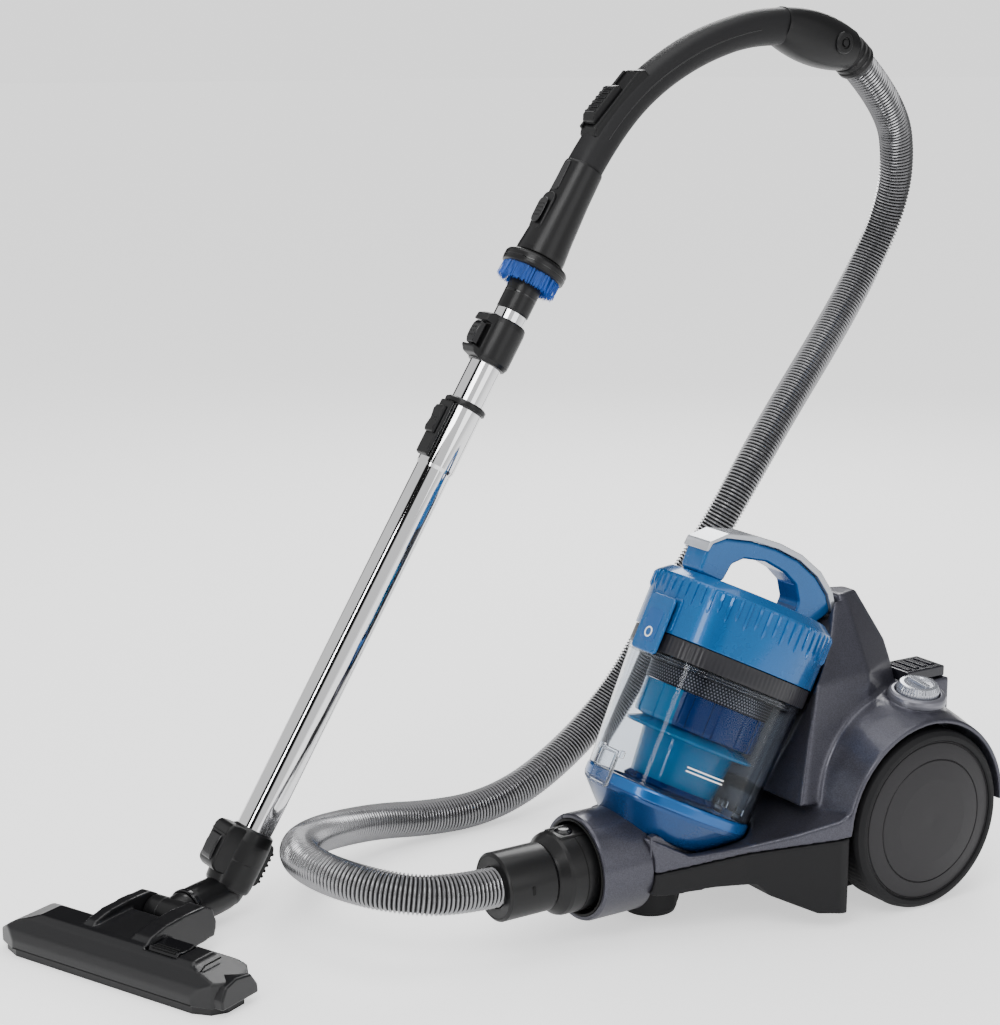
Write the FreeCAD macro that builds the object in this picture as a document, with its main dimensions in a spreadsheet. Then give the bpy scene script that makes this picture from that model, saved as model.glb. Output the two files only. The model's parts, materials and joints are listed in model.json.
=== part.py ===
# Canister vacuum cleaner with a clear dust cup, a corrugated hose, a telescopic wand
# and a floor head.  Millimetres, +Z up.  The canister faces -Y, the wand stands in
# front of it and to its right (-X side).  Every driving size sits in the spreadsheet.
import FreeCAD, Part
import math
import os
import re
import Sketcher
from FreeCAD import Vector, Placement, Rotation, Matrix

os.makedirs("parts", exist_ok=True)
doc = FreeCAD.newDocument("canister_vacuum")

# ------------------------------------------------------------------ driving sizes
SIZES = [
    ("frame_dx", 68.4), ("frame_dy", 275.68),          # shift to the bottom centre of the box
    ("wheel_rad", 86.0), ("wheel_out", 130.0), ("wheel_in", 84.0), ("well_rad", 91.5),
    ("axle_rad", 6.0), ("axle_gap", 0.06),
    ("fender_lip", 96.0), ("drum_rad", 108.0), ("drum_cav", 99.0), ("drum_half", 75.0), ("fender_half", 124.0),
    ("seam_front", 62.0), ("seam_rear", 87.0),
    ("cup_tilt", 26.5), ("cup_y", -226.4), ("cup_z", 79.7),
    ("cup_foot_rad", 53.0), ("cup_rim_rad", 79.0), ("cup_low_rad", 78.0), ("cup_top_rad", 84.0), ("lid_rad", 86.5),
    ("cup_wall", 2.2), ("rim_lvl", 30.0), ("bin_lvl", 41.0), ("band_lvl", 156.0), ("lid_lvl", 175.0), ("lid_edge", 227.0), ("lid_top", 236.0),
    ("handle_wide", 30.0), ("trim_thick", 6.0),
    ("collar_rad", 49.0), ("collar_bore", 43.0), ("collar_z", 64.5), ("collar_front", -312.0), ("collar_back", -258.0),
    ("cuff_rad", 31.0), ("conn_rad", 38.0), ("hose_rad", 18.0),
    ("tube_rad", 17.3), ("tube_wall", 1.0), ("inner_rad", 15.8), ("wand_tilt", 57.8),
    ("tube_low", 30.0), ("tube_top", 507.0), ("inner_low", 104.0), ("inner_top", 604.0),
    ("spigot_rad", 16.3), ("sleeve_rad", 20.2), ("brush_rad", 32.0), ("grip_rad", 17.6), ("house_rad", 27.0),
    ("head_half", 131.0), ("head_deep", 64.0), ("head_high", 38.0), ("barrel_b", 86.0), ("barrel_z", 26.0), ("barrel_rad", 15.5), ("neck_rad", 17.5),
    ("knob_rad", 20.0), ("knob_high", 17.0), ("caster_rad", 19.0), ("caster_wide", 20.0),
    ("motor_rad", 42.0), ("reel_rad", 56.0),
]
sheet = doc.addObject("Spreadsheet::Sheet", "Sizes")
VAL = {}
for k, (nm, v) in enumerate(SIZES):
    sheet.set("A%d" % (k + 1), nm)
    sheet.set("B%d" % (k + 1), repr(v))
    sheet.setAlias("B%d" % (k + 1), nm)
    VAL[nm] = v
doc.recompute()


def num(e):
    """Value of a signed sum of cell names and numbers, such as 'lid_rad-2.5'."""
    if not isinstance(e, str):
        return float(e)
    tot = 0.0
    for sign, tok in re.findall(r"([+-]?)\s*([A-Za-z_][A-Za-z_0-9]*|[0-9.]+)", e):
        v = VAL[tok] if tok in VAL else float(tok)
        tot += -v if sign == "-" else v
    return tot


def cellexp(e):
    return re.sub(r"([A-Za-z_][A-Za-z_0-9]*)", r"Sizes.\1", e)


def bind(obj, prop, e):
    if isinstance(e, str):
        obj.setExpression(prop, cellexp(e))
    else:
        setattr(obj, prop, float(e))


SHIFT = Vector(VAL["frame_dx"], VAL["frame_dy"], 0)
PIECES = []


def rot_cols(x, y, z):
    return Rotation(Matrix(x.x, y.x, z.x, 0, x.y, y.y, z.y, 0, x.z, y.z, z.z, 0, 0, 0, 0, 1))


def final(obj, label, frame):
    """Name a finished piece and set it in its place in the model."""
    obj.Label = label
    obj.Placement = Placement(frame.Base + SHIFT, frame.Rotation)
    PIECES.append(obj)
    return obj


# local frames -----------------------------------------------------------------
WORLD = Placement(Vector(0, 0, 0), Rotation())
CUP = Placement(Vector(0, VAL["cup_y"], VAL["cup_z"]), Rotation(Vector(1, 0, 0), -VAL["cup_tilt"]))
# frame whose Z runs back along +Y through the hose inlet
INLET = Placement(Vector(0, 0, VAL["collar_z"]), Rotation(Vector(1, 0, 0), -90))
# frame whose Z runs along +X through the wheel axle
AXLE = Placement(Vector(0, 0, VAL["wheel_rad"]), Rotation(Vector(0, 1, 0), 90))
# floor head: x along its long side, y to its rear
HL = Vector(0.912, 0.410, 0).normalize()
HN = Vector(-HL.y, HL.x, 0)
HEAD0 = Vector(-141.3, -706.1, 0)
HEAD = Placement(HEAD0, rot_cols(HL, HN, Vector(0, 0, 1)))
# bar of the floor head, set forward and to the right of the neck
HEADB = HEAD * Placement(Vector(6, 16, 0), Rotation())
# neck elbow point and the handle end fix the wand's upright plane
ELBOW = HEAD0 + HN * 157.0 + Vector(0, 0, VAL["barrel_z"])
WENDP = Vector(-232.3, 197.15, 767.2)
WH = Vector(WENDP.x - ELBOW.x, WENDP.y - ELBOW.y, 0).normalize()
WN = Vector(-WH.y, WH.x, 0)
# upright plane of the wand: x = distance from the elbow, z = height over the floor
WPLANE = Placement(Vector(ELBOW.x, ELBOW.y, 0), rot_cols(WH, WN, Vector(0, 0, 1)))
_a = math.radians(VAL["wand_tilt"])
WD = WH * math.cos(_a) + Vector(0, 0, math.sin(_a))
WT = WH * (-math.sin(_a)) + Vector(0, 0, math.cos(_a))
# wand frame: z up the wand, x to its front, y sideways
WAND = Placement(ELBOW, rot_cols(WT, WD.cross(WT), WD))


# builders ---------------------------------------------------------------------
def plane_of(body, role):
    for f in body.Origin.OriginFeatures:
        if f.Role == role:
            return f


def polygon(body, name, pts, role, offset=0.0):
    """Closed polygon in one of the body's origin planes, each corner bound by two lengths."""
    sk = body.newObject("Sketcher::SketchObject", name)
    sk.AttachmentSupport = [(plane_of(body, role), "")]
    sk.MapMode = "FlatFace"
    if offset:
        sk.AttachmentOffset = Placement(Vector(0, 0, offset), Rotation())
    P = [Vector(num(x), num(y), 0) for x, y in pts]
    n = len(P)
    geo = [Part.LineSegment(P[i], P[(i + 1) % n]) for i in range(n)]
    sk.addGeometry(geo, False)
    for i in range(n):
        sk.addConstraint(Sketcher.Constraint("Coincident", i, 2, (i + 1) % n, 1))
    for i in range(n):
        for kind, axis, e, v in (("DistanceX", -2, pts[i][0], P[i].x), ("DistanceY", -1, pts[i][1], P[i].y)):
            if abs(v) < 1e-9:
                sk.addConstraint(Sketcher.Constraint("PointOnObject", i, 1, axis))
                continue
            if v > 0:
                c = sk.addConstraint(Sketcher.Constraint(kind, -1, 1, i, 1, v))
            else:
                c = sk.addConstraint(Sketcher.Constraint(kind, i, 1, -1, 1, -v))
            if isinstance(e, str):
                s = cellexp(e)
                sk.setExpression("Constraints[%d]" % c, s if v > 0 else "-(%s)" % s)
    return sk


def turned(label, pts, frame, angle=360.0):
    """Piece turned about its local Z: (radius, height) corners."""
    body = doc.addObject("PartDesign::Body", label)
    sk = polygon(body, label + "_profile", pts, "XZ_Plane")
    rv = body.newObject("PartDesign::Revolution", label + "_turn")
    rv.Profile = sk
    rv.ReferenceAxis = (sk, ["V_Axis"])
    rv.Angle = angle
    body.Tip = rv
    return final(body, label, frame)


def prism(label, pts, length, frame, role="YZ_Plane", mid=True, offset=0.0, finish=True):
    body = doc.addObject("PartDesign::Body", label)
    sk = polygon(body, label + "_outline", pts, role, offset)
    pad = body.newObject("PartDesign::Pad", label + "_pad")
    pad.Profile = sk
    bind(pad, "Length", length)
    if mid:
        pad.Midplane = True
    body.Tip = pad
    if finish:
        final(body, label, frame)
    return body


def pocket(body, name, pts, role="YZ_Plane", offset=0.0, depth=None, rev=False):
    sk = polygon(body, name + "_outline", pts, role, offset)
    pk = body.newObject("PartDesign::Pocket", name)
    pk.Profile = sk
    if depth is None:
        pk.Type = "ThroughAll"
        pk.Midplane = True
    else:
        pk.Length = depth
        pk.Reversed = rev
    body.Tip = pk
    return pk


def cyl(name, rad, high, base=(0, 0, 0), rot=None):
    o = doc.addObject("Part::Cylinder", name)
    bind(o, "Radius", rad)
    bind(o, "Height", high)
    o.Placement = Placement(Vector(*[num(q) for q in base]), rot or Rotation())
    return o


def box(name, lo, hi, rot=None, about=None):
    o = doc.addObject("Part::Box", name)
    o.Length = num(hi[0]) - num(lo[0])
    o.Width = num(hi[1]) - num(lo[1])
    o.Height = num(hi[2]) - num(lo[2])
    p = Placement(Vector(*[num(q) for q in lo]), Rotation())
    if rot is not None:
        c = Vector(*(about or (0, 0, 0)))
        p = Placement(c, rot) * Placement(-c, Rotation()) * p
    o.Placement = p
    return o


def fuse(name, parts):
    o = doc.addObject("Part::MultiFuse", name)
    o.Shapes = parts
    o.Refine = True
    return o


def cut(name, base, tool):
    if isinstance(tool, (list, tuple)):
        tool = tool[0] if len(tool) == 1 else fuse(name + "_tools", list(tool))
    o = doc.addObject("Part::Cut", name)
    o.Base = base
    o.Tool = tool
    o.Refine = True
    return o


def common(name, a, b):
    o = doc.addObject("Part::Common", name)
    o.Base = a
    o.Tool = b
    return o


def loft(name, sections):
    ws = []
    for i, (zz, half) in enumerate(sections):
        pts = [Vector(x, y, zz) for x, y in half] + [Vector(-x, y, zz) for x, y in reversed(half)]
        w = doc.addObject("Part::Feature", "%s_ring%d" % (name, i))
        w.Shape = Part.Wire(Part.makePolygon(pts + [pts[0]]).Edges)
        ws.append(w)
    o = doc.addObject("Part::Loft", name)
    o.Sections = ws
    o.Solid = True
    o.Ruled = True
    return o


def route(points):
    """Straight runs joined by tangent arcs, as large as the two runs at each corner allow."""
    n = len(points)
    edges, radii = [], []
    cur = points[0]
    for i in range(1, n - 1):
        u = (points[i] - points[i - 1])
        w = (points[i + 1] - points[i])
        lu, lw = u.Length, w.Length
        u = u * (1.0 / lu)
        w = w * (1.0 / lw)
        turn = math.acos(max(-1.0, min(1.0, u.dot(w))))
        tl = 0.45 * min(lu, lw)
        rad = tl / math.tan(turn / 2.0)
        radii.append(rad)
        a = points[i] - u * tl
        b = points[i] + w * tl
        bis = (w - u)
        bis = bis * (1.0 / bis.Length)
        centre = points[i] + bis * (rad / math.cos(turn / 2.0))
        m = centre - bis * rad
        edges.append(Part.LineSegment(cur, a).toShape())
        edges.append(Part.Arc(a, m, b).toShape())
        cur = b
    edges.append(Part.LineSegment(cur, points[-1]).toShape())
    return Part.Wire(edges), radii


def pipe(label, points, rad, frame=WORLD, bore=0.0, done=True):
    """Round tube along a route of runs and arcs."""
    wire, radii = route([Vector(*p) if not isinstance(p, Vector) else p for p in points])
    d = (wire.OrderedVertexes[1].Point - wire.OrderedVertexes[0].Point)

    def swept(r):
        ring = Part.Wire([Part.makeCircle(r, wire.OrderedVertexes[0].Point, d)])
        sh = Part.BRepOffsetAPI.MakePipeShell(wire)
        sh.setTransitionMode(1)
        sh.add(ring)
        sh.build()
        sh.makeSolid()
        return sh.shape()

    s = swept(rad)
    if bore:
        s = s.cut(swept(bore))
    o = doc.addObject("Part::Feature", label)
    o.Shape = s
    if done:
        final(o, label, frame)
    return o, wire, radii


# ================================================================== canister shell
# black lower tray: plan outline raised, then trimmed to its side profile
PLAN = [(40, -266), (52, -258), (60, -236), (80, -178), (121, -102), (121, -93), ("drum_half", -93), ("drum_half", 84), (60, 101), (30, 104)]
PLANF = PLAN + [("-%s" % p[0] if isinstance(p[0], str) else -p[0], p[1]) for p in reversed(PLAN)]
tray = prism("tray_blank", PLANF, 90.0, WORLD, "XY_Plane", mid=False, finish=False)
pocket(tray, "tray_top_cut", [(-300, 61.85), (-266, 61.85), (-93, 86.85), (130, 86.85), (130, 120), (-300, 120)])
pocket(tray, "tray_belly_cut", [(-300, -5), (130, -5), (130, 52), (104, 40), (70, 14), (-92, 14), (-119, 15.5), (-158, 34), (-168, 45), (-205, 46), (-245, 42), (-300, 42)])
cup_seat = doc.addObject("PartDesign::Body", "cup_seat_tool")
sk = polygon(cup_seat, "seat_profile", [(0, -1.5), ("cup_foot_rad+1.5", -1.5), ("cup_rim_rad+1.8", 29), ("cup_rim_rad+2.2", 44),
             ("cup_top_rad+3.4", "band_lvl"), ("lid_rad+2", 176), ("lid_rad+2", 320), (0, 320)], "XZ_Plane")
rv = cup_seat.newObject("PartDesign::Revolution", "seat_turn")
rv.Profile = sk
rv.ReferenceAxis = (sk, ["V_Axis"])
rv.Angle = 360
cup_seat.Tip = rv
cup_seat.Placement = CUP
cavity = box("tray_cavity", (-71, -89, 17.5), (71, 82, 95))
collar_room = cyl("collar_room", "collar_rad+0.3", 70, (0, -328, "collar_z"), Rotation(Vector(1, 0, 0), -90))
axle_room_low = cyl("axle_room_low", "axle_rad", 250, (-125, 0, "wheel_rad"), Rotation(Vector(0, 1, 0), 90))
caster_room = cyl("caster_room", 27, 4.5, (0, -228, 41.8))
caster_pin_room = cyl("caster_pin_room", 6.05, 14, (0, -228, 43))
cord_hole = cyl("cord_hole", 7, 30, (-48, 80, 62), Rotation(Vector(1, 0, 0), -90))
grille_room = box("grille_room", (-30.3, 98, 44.7), (58.3, 110, 77.3))
vent_room = box("vent_room", (-22, 80, 50), (50, 100, 72))
hinge_low = box("hinge_low_room", (-21.5, 70, 33), (21.5, 87, 74))
hinge_low.Placement = CUP * hinge_low.Placement
tray_post = fuse("tray_with_reel_post", [cut("tray_hollow", tray, cavity), box("reel_post", (-70.4, 4, 16), (-67, 24, 92)), cyl("reel_pin", 8, 40, (-70.4, 14, 84), Rotation(Vector(0, 1, 0), 90))])
tray_cut = cut("lower_chassis", tray_post, [cup_seat, collar_room, axle_room_low, caster_room, caster_pin_room, cord_hole, grille_room, vent_room, hinge_low])
final(tray_cut, "lower_chassis", WORLD)

# metallic upper shell: drum over the wheels with fenders, deck, rear tower, control bosses
drum = doc.addObject("PartDesign::Body", "drum_blank")
HALF = [("fender_half", "well_rad"), ("fender_half", "fender_lip"), (112, 98.5), (95, 102.5), (80, 105.5), (55, "drum_rad"), (0, "drum_rad")]
INN = [(0, "drum_cav"), (71, "drum_cav"), (71, 14), ("drum_half", 14), ("drum_half", "well_rad")]


def neg(p):
    return ("-%s" % p[0] if isinstance(p[0], str) else -p[0], p[1])


prof = HALF + [neg(p) for p in reversed(HALF[:-1])] + [neg(p) for p in reversed(INN)] + INN[1:]
prof = [(p[1], p[0]) for p in prof]
sk = polygon(drum, "drum_profile", prof, "XZ_Plane")
rv = drum.newObject("PartDesign::Revolution", "drum_turn")
rv.Profile = sk
rv.ReferenceAxis = (sk, ["V_Axis"])
rv.Angle = 360
drum.Tip = rv
drum.Placement = AXLE
drum_half = cut("drum_half_cut", drum, box("drum_low", (-140, -140, -30), (140, 140, 87.15)))
deck = prism("deck_blank", PLANF, 140.0, WORLD, "XY_Plane", mid=False, finish=False)
pocket(deck, "deck_low_cut", [(-300, -5), (-300, 62.15), (-266, 62.15), (-93, 87.15), (130, 87.15), (130, -5)])
pocket(deck, "deck_top_cut", [(-300, 96), (-262, 96), (-246, 88), (-228, 78), (-180, 82), (-140, 92), (-104, 104), (-80, 118), (130, 118), (130, 170), (-300, 170)])
deck_hollow = box("deck_hollow", (-71, -92, 60), (71, 110, 150))
deck_cut = cut("deck_cut", deck, deck_hollow)
tower_out = loft("tower_out", [(110, [(86, -122), (90, -40), (50, 90)]), (215, [(66, -90), (58, -20), (26, 40)]), (281, [(17, -44), (15, -15), (9, 4)])])
tower_in = loft("tower_in", [(96, [(68, -90), (69, -40), (38, 76)]), (205, [(40, -55), (42, -18), (16, 26)]), (258, [(9, -32), (8, -12), (4, -6)])])
TILT = Rotation(Vector(0, 1, 0), 8.6)
knob_boss = doc.addObject("Part::Cone", "knob_boss")
knob_boss.Radius1 = 31
knob_boss.Radius2 = 25.5
knob_boss.Height = 44
knob_boss.Placement = Placement(Vector(78.5, 16, 154), TILT)
pedal_boss = box("pedal_boss", (12, 28, 150), (58, 84, 194))
drum_core = cyl("drum_core", "drum_cav", 142, (-71, 0, "wheel_rad"), Rotation(Vector(0, 1, 0), 90))
well_l = cyl("well_l", "well_rad", 60, ("drum_half", 0, "wheel_rad"), Rotation(Vector(0, 1, 0), 90))
well_r = cyl("well_r", "well_rad", 60, (-135, 0, "wheel_rad"), Rotation(Vector(0, 1, 0), 90))
shell0 = fuse("shell_sum", [drum_half, deck_cut, tower_out, knob_boss, pedal_boss])
pedal_room = box("pedal_room", (15.4, 31.4, 187.4), (54.6, 80.6, 240))
pedal_pin_room = box("pedal_pin_room", (30, 50, 176), (40, 62, 190))
axle_room_up = cyl("axle_room_up", "axle_rad", 250, (-125, 0, "wheel_rad"), Rotation(Vector(0, 1, 0), 90))
collar_room2 = cyl("collar_room2", "collar_rad+0.3", 70, (0, -328, "collar_z"), Rotation(Vector(1, 0, 0), -90))
handle_room = box("handle_room", (-18.6, -75, 258.5), (18.6, -23.5, 300))
hinge_room = box("hinge_room", (-21.5, 70, 33), (21.5, 87, 74))
hinge_room.Placement = CUP * hinge_room.Placement
knob_tool = turned("knob_room", [(0, -19), (5.06, -19), (5.06, 0), ("knob_rad+1", 0), ("knob_rad+1", 14), (0, 14)], Placement(Vector(84.72, 16, 191.5), TILT))
PIECES.remove(knob_tool)
knob_tool.Placement = Placement(Vector(84.72, 16, 191.5), TILT)
shell = cut("upper_housing", shell0, [handle_room, hinge_room, cup_seat, drum_core, well_l, well_r, tower_in, knob_tool, pedal_room, pedal_pin_room, axle_room_up, collar_room2])
final(shell, "upper_housing", WORLD)

# inlet: thick ring whose rear wall has the air port
turned("inlet_collar", [("collar_bore", -312), ("collar_rad-1.5", -312), ("collar_rad", -309), ("collar_rad", -258.2), (24, -258.2), (24, -263), (40, -263), (40, -305), ("collar_bore", -309)], INLET)
ring0 = PIECES.pop()
ring0.Placement = INLET
ring0.Label = "collar_ring"
final(cut("inlet_collar", ring0, cup_seat), "inlet_collar", WORLD)

# controls
knob = turned("power_knob", [(0, -17), (5, -17), (5, 0.6), ("knob_rad", 0.6), ("knob_rad", 11), ("knob_rad-3", "knob_high-2"), (12, "knob_high"), (0, "knob_high")],
              Placement(Vector(84.72, 16, 191.5), TILT))
KNOB_P = Vector(84.72, 16, 191.5)
ped = fuse("pedal_sum", [box("pedal_pad", (15.8, 31.8, 194.6), (54.2, 80.2, 205)), box("pedal_stem", (30.3, 50.3, 180), (39.7, 61.7, 196))])
final(ped, "rewind_pedal", WORLD)

# ================================================================== inside the canister
MOT = Placement(Vector(20, 0, 98), Rotation(Vector(1, 0, 0), -90))
turned("motor", [(4.06, -60), (30, -60), (30, -52), ("motor_rad", -50), ("motor_rad", -38), ("motor_rad+5", -36), ("motor_rad+5", -22), ("motor_rad", -20), ("motor_rad", 16), (30, 22), (12, 30), (4.06, 30)], MOT)
turned("impeller", [(0, -80), (6, -80), (10, -74), (37, -71), (37, -63), (8, -63), (4, -62), (4, 8), (0, 8)], MOT)
REEL = Placement(Vector(0, 14, 84), Rotation(Vector(0, 1, 0), 90))
turned("cord_reel", [(8.06, -66), ("reel_rad", -66), ("reel_rad", -63), (22, -63), (22, -37), ("reel_rad", -37), ("reel_rad", -34), (8.06, -34)], REEL)
flt = box("exhaust_filter", (-21.5, 83.5, 50.5), (49.5, 97.0, 71.5))
final(flt, "exhaust_filter", flt.Placement)
gr0 = prism("grille_plate", [(-30, 45), (58, 45), (58, 77), (-30, 77)], 5.5, WORLD, "XZ_Plane", mid=False, offset=-104.2, finish=False)
sl = polygon(gr0, "grille_slot", [(-26, 48), (-22, 48), (-22, 74), (-26, 74)], "XZ_Plane", -110)
gp = gr0.newObject("PartDesign::Pocket", "grille_pocket")
gp.Profile = sl
gp.Type = "ThroughAll"
gp.Midplane = True
doc.recompute()
lp = gr0.newObject("PartDesign::LinearPattern", "grille_slots")
lp.Originals = [gp]
lp.Direction = (sl, ["H_Axis"])
lp.Length = 76
lp.Occurrences = 11
gr0.Tip = lp
final(gr0, "exhaust_grille", WORLD)
turned("cord_outlet", [(4, 76), (6.9, 76), (6.9, 103.4), (10, 103.4), (10, 106), (4, 107.5)], Placement(Vector(-48, 0, 62), Rotation(Vector(1, 0, 0), -90)))
ax2 = fuse("wheel_axles", [cyl("axle_l", "axle_rad-0.0", 55.5, (68.5, 0, "wheel_rad"), Rotation(Vector(0, 1, 0), 90)), cyl("axle_r", "axle_rad-0.0", 55.5, (-124, 0, "wheel_rad"), Rotation(Vector(0, 1, 0), 90))])
final(ax2, "wheel_axles", WORLD)

# ================================================================== wheels and caster
for side, sg in (("left", 1), ("right", -1)):
    fr = AXLE if sg > 0 else Placement(AXLE.Base, Rotation(Vector(0, 1, 0), -90))
    turned("wheel_disc_" + side, [("axle_rad+axle_gap", 86), (20, 86), (20, 119), (70, 117), (70, 90), (76, 90), (76, 124), (74.8, 125.6), (73.8, 124.4), (59.2, 127.4), (58.4, 125.9), (57.6, 127.8), (30, "wheel_out-0.6"), (0, "wheel_out"),
                                  (0, 125.5), ("axle_rad+axle_gap", 125.5)], fr)
    turned("wheel_tyre_" + side, [(76.1, 86), (82, "wheel_in"), ("wheel_rad-1", "wheel_in+1"), ("wheel_rad", "wheel_in+4"), ("wheel_rad", 118), ("wheel_rad-1.2", 123), (81, 126.5), (76.1, 125)], fr)

CASP = Placement(Vector(0, -228, 0), Rotation())
fk1 = turned("fork_blank", [(0, 8), (24, 8), (25.5, 12), (25.5, 40), (23, 42.6), (20, 45.6), (6, 45.6), (6, 56), (0, 56)], CASP)
PIECES.remove(fk1)
fk1.Placement = Placement(Vector(0, -228, 0), Rotation())
slot = box("fork_slot", (-11, -238, 0), (11, -196, 42))
fork_pin = cyl("fork_pin", 3.0, 36, (-18, -218, "caster_rad"), Rotation(Vector(0, 1, 0), 90))
cf = fuse("caster_fork", [cut("fork_cut", fk1, slot), fork_pin])
final(cf, "caster_fork", WORLD)
cw = turned("caster_wheel", [(3.07, -10), ("caster_rad-2", -10), ("caster_rad", -8), ("caster_rad", 8), ("caster_rad-2", 10), (3.07, 10)], Placement(Vector(0, -218, VAL["caster_rad"]), Rotation(Vector(0, 1, 0), 90)))

# screws that hold the tray to the shell, driven up from below
scs = []
for i, (x, y) in enumerate(((66, -84), (-66, -84), (66, 70), (-66, 70))):
    scs.append(cyl("screw_head%d" % i, 4, 3, (x, y, 10.9)))
scr = fuse("chassis_screws", scs)
final(scr, "chassis_screws", WORLD)

# ================================================================== dust cup
turned("dust_bin", [("cup_low_rad-2.2", "bin_lvl+0.4"), ("cup_low_rad", "bin_lvl+0.4"), ("cup_top_rad-0.6", "band_lvl"), ("cup_top_rad-0.6", "band_lvl+8"), ("cup_top_rad-2.8", "band_lvl+8"), ("cup_top_rad-2.8", "band_lvl")], CUP)
bin0 = PIECES.pop()
bin0.Placement = Placement()
bin0.Label = "bin_wall"
ear_a = box("bin_ear_a", (9, 77.2, 41.4), (20, 85.5, 52))
ear_b = box("bin_ear_b", (-20, 77.2, 41.4), (-9, 85.5, 52))
lug_a = box("latch_lug_a", (13.6, -84.0, 55.5), (17, -77.0, 62.5))
lug_b = box("latch_lug_b", (-17, -84.0, 55.5), (-13.6, -77.0, 62.5))
final(cut("dust_bin", fuse("bin_with_ears", [bin0, ear_a, ear_b, lug_a, lug_b]),
          [cyl("bin_pin_room", 2.0, 50, (-25, 82, 44), Rotation(Vector(0, 1, 0), 90)), cyl("latch_pin_room", 1.55, 40, (-20, -81.6, 59), Rotation(Vector(0, 1, 0), 90))]), "dust_bin", CUP)
turned("bottom_flap", [(0, 0), ("cup_foot_rad-3", 0), ("cup_foot_rad", 2), ("cup_low_rad-1", "rim_lvl-4"), ("cup_rim_rad", "rim_lvl"), ("cup_rim_rad", "bin_lvl-1"), ("cup_rim_rad-1", "bin_lvl"),
                       ("cup_low_rad-3", "bin_lvl"), ("cup_low_rad-4.5", "rim_lvl"), (50, 6), (0, 4)], CUP)
flap0 = PIECES.pop()
flap0.Placement = Placement()
flap0.Label = "flap_dish"
flap_ear = fuse("flap_ear", [cyl("flap_knuckle", 3.3, 17.2, (-8.6, 82, 44), Rotation(Vector(0, 1, 0), 90)), box("flap_web", (-8.6, 78.5, 34), (8.6, 85.3, 44))])
final(cut("bottom_flap", fuse("flap_with_ear", [flap0, flap_ear]), cyl("flap_pin_room", 2.05, 20, (-10, 82, 44), Rotation(Vector(0, 1, 0), 90))), "bottom_flap", CUP)
turned("cyclone_tube", [(38, 48), (40, 48), (46, 106), (46, 112), (44, 112), (44, 106)], CUP)
turned("shroud_skirt", [(46.2, 96), (60, 90), (61, 92), (47, 100), (47, 112), (46.2, 112)], CUP)
turned("mesh_shroud", [(44, 112.3), (46.5, 112.3), (46.5, 158), (44, 158)], CUP)
# separator plate with the outlet tube that hangs down inside the shroud
turned("separator_plate", [(17, 118), (19.5, 118), (19.5, 158.3), ("cup_top_rad-3", 158.3), ("cup_top_rad-3", 164.3), ("cup_top_rad-0.7", 164.3), ("cup_top_rad-0.7", 168), (17, 168)], CUP)
turned("bin_gasket", [("cup_top_rad-0.4", 157), ("cup_top_rad+1.2", 157), ("cup_top_rad+1.2", 161), ("cup_top_rad+0.4", 162), ("cup_top_rad+1.2", 163), ("cup_top_rad+1.2", 168), ("cup_top_rad+0.4", 169),
                      ("cup_top_rad+1.2", 170), ("cup_top_rad+1.2", 174.6), ("cup_top_rad-0.4", 174.6)], CUP)
turned("pre_motor_filter", [(0, 178), (74, 178), (74, 202), (0, 202)], CUP)
lid_b = doc.addObject("PartDesign::Body", "lid_blank")
sk = polygon(lid_b, "lid_profile", [(0, "lid_top"), ("lid_rad-11", "lid_top"), ("lid_rad", "lid_edge"), ("lid_rad", "lid_lvl"), ("lid_rad-3", "lid_lvl"), ("lid_rad-3", "lid_edge-2"), ("lid_rad-13", "lid_top-3.5"), (0, "lid_top-3.5")], "XZ_Plane")
rv = lid_b.newObject("PartDesign::Revolution", "lid_turn")
rv.Profile = sk
rv.ReferenceAxis = (sk, ["V_Axis"])
rv.Angle = 360
rib = polygon(lid_b, "lid_rib_outline", [("lid_rad-1", 205), ("lid_rad+1.2", 207), ("lid_rad+1.2", 226), ("lid_rad-1", 226)], "XZ_Plane")
rp = lid_b.newObject("PartDesign::Pad", "lid_rib")
rp.Profile = rib
rp.Length = 2.4
rp.Midplane = True
doc.recompute()
pp = lid_b.newObject("PartDesign::PolarPattern", "lid_ribs")
pp.Originals = [rp]
pp.Axis = (rib, ["V_Axis"])
pp.Angle = 360
pp.Occurrences = 36
lid_b.Tip = pp
btn_room = box("button_room", (-18.3, -95, 150), (18.3, -78, 206))
lid = cut("lid_shell", lid_b, btn_room)
final(lid, "lid_shell", CUP)
# carry handle: a solid arch from the front of the lid to its rear, 30 mm wide
ARCH = [(-76, "lid_top+0.2"), (-76, 262), (-62, 274), (-30, 282), (0, 285), (30, 284), (58, 277), (78, 266), (92, 252), (84, 244), (74, "lid_top+0.2"),
        (50, "lid_top+0.2"), (49, 250), (38, 262), (20, 268), (-6, 270), (-32, 264), (-44, 254), (-46, "lid_top+0.2")]
arch = prism("arch_blank", ARCH, "handle_wide", CUP, finish=False)
doc.recompute()
final(arch, "carry_handle", CUP)
TRIM = [(-80, 258), (-78, 266), (-62, 279), (-30, 288), (0, 291), (30, 290), (60, 283), (82, 271), (97, 255), (92.3, 252.3), (78, 266.3), (58, 277.3), (30, 284.3), (0, 285.3), (-30, 282.3), (-62, 274.3), (-76.3, 262.2), (-76.3, 258)]
trim = prism("trim_blank", TRIM, "handle_wide+4", CUP, finish=False)
final(trim, "handle_trim", CUP)
# release button on the lid's front, 5 mm proud of the rim
lb = box("lid_button_pad", (-17.9, -92.5, 176), (17.9, -86.0, 205.6))
lb_low = box("lid_button_lip", (-17.9, -92.5, 152), (17.9, -88.2, 176.5))
lb2 = fuse("lid_button_sum", [lb, lb_low, box("lid_button_stem", (-8, -86.5, 182), (8, -79, 198))])
final(lb2, "lid_button", CUP)
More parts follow.
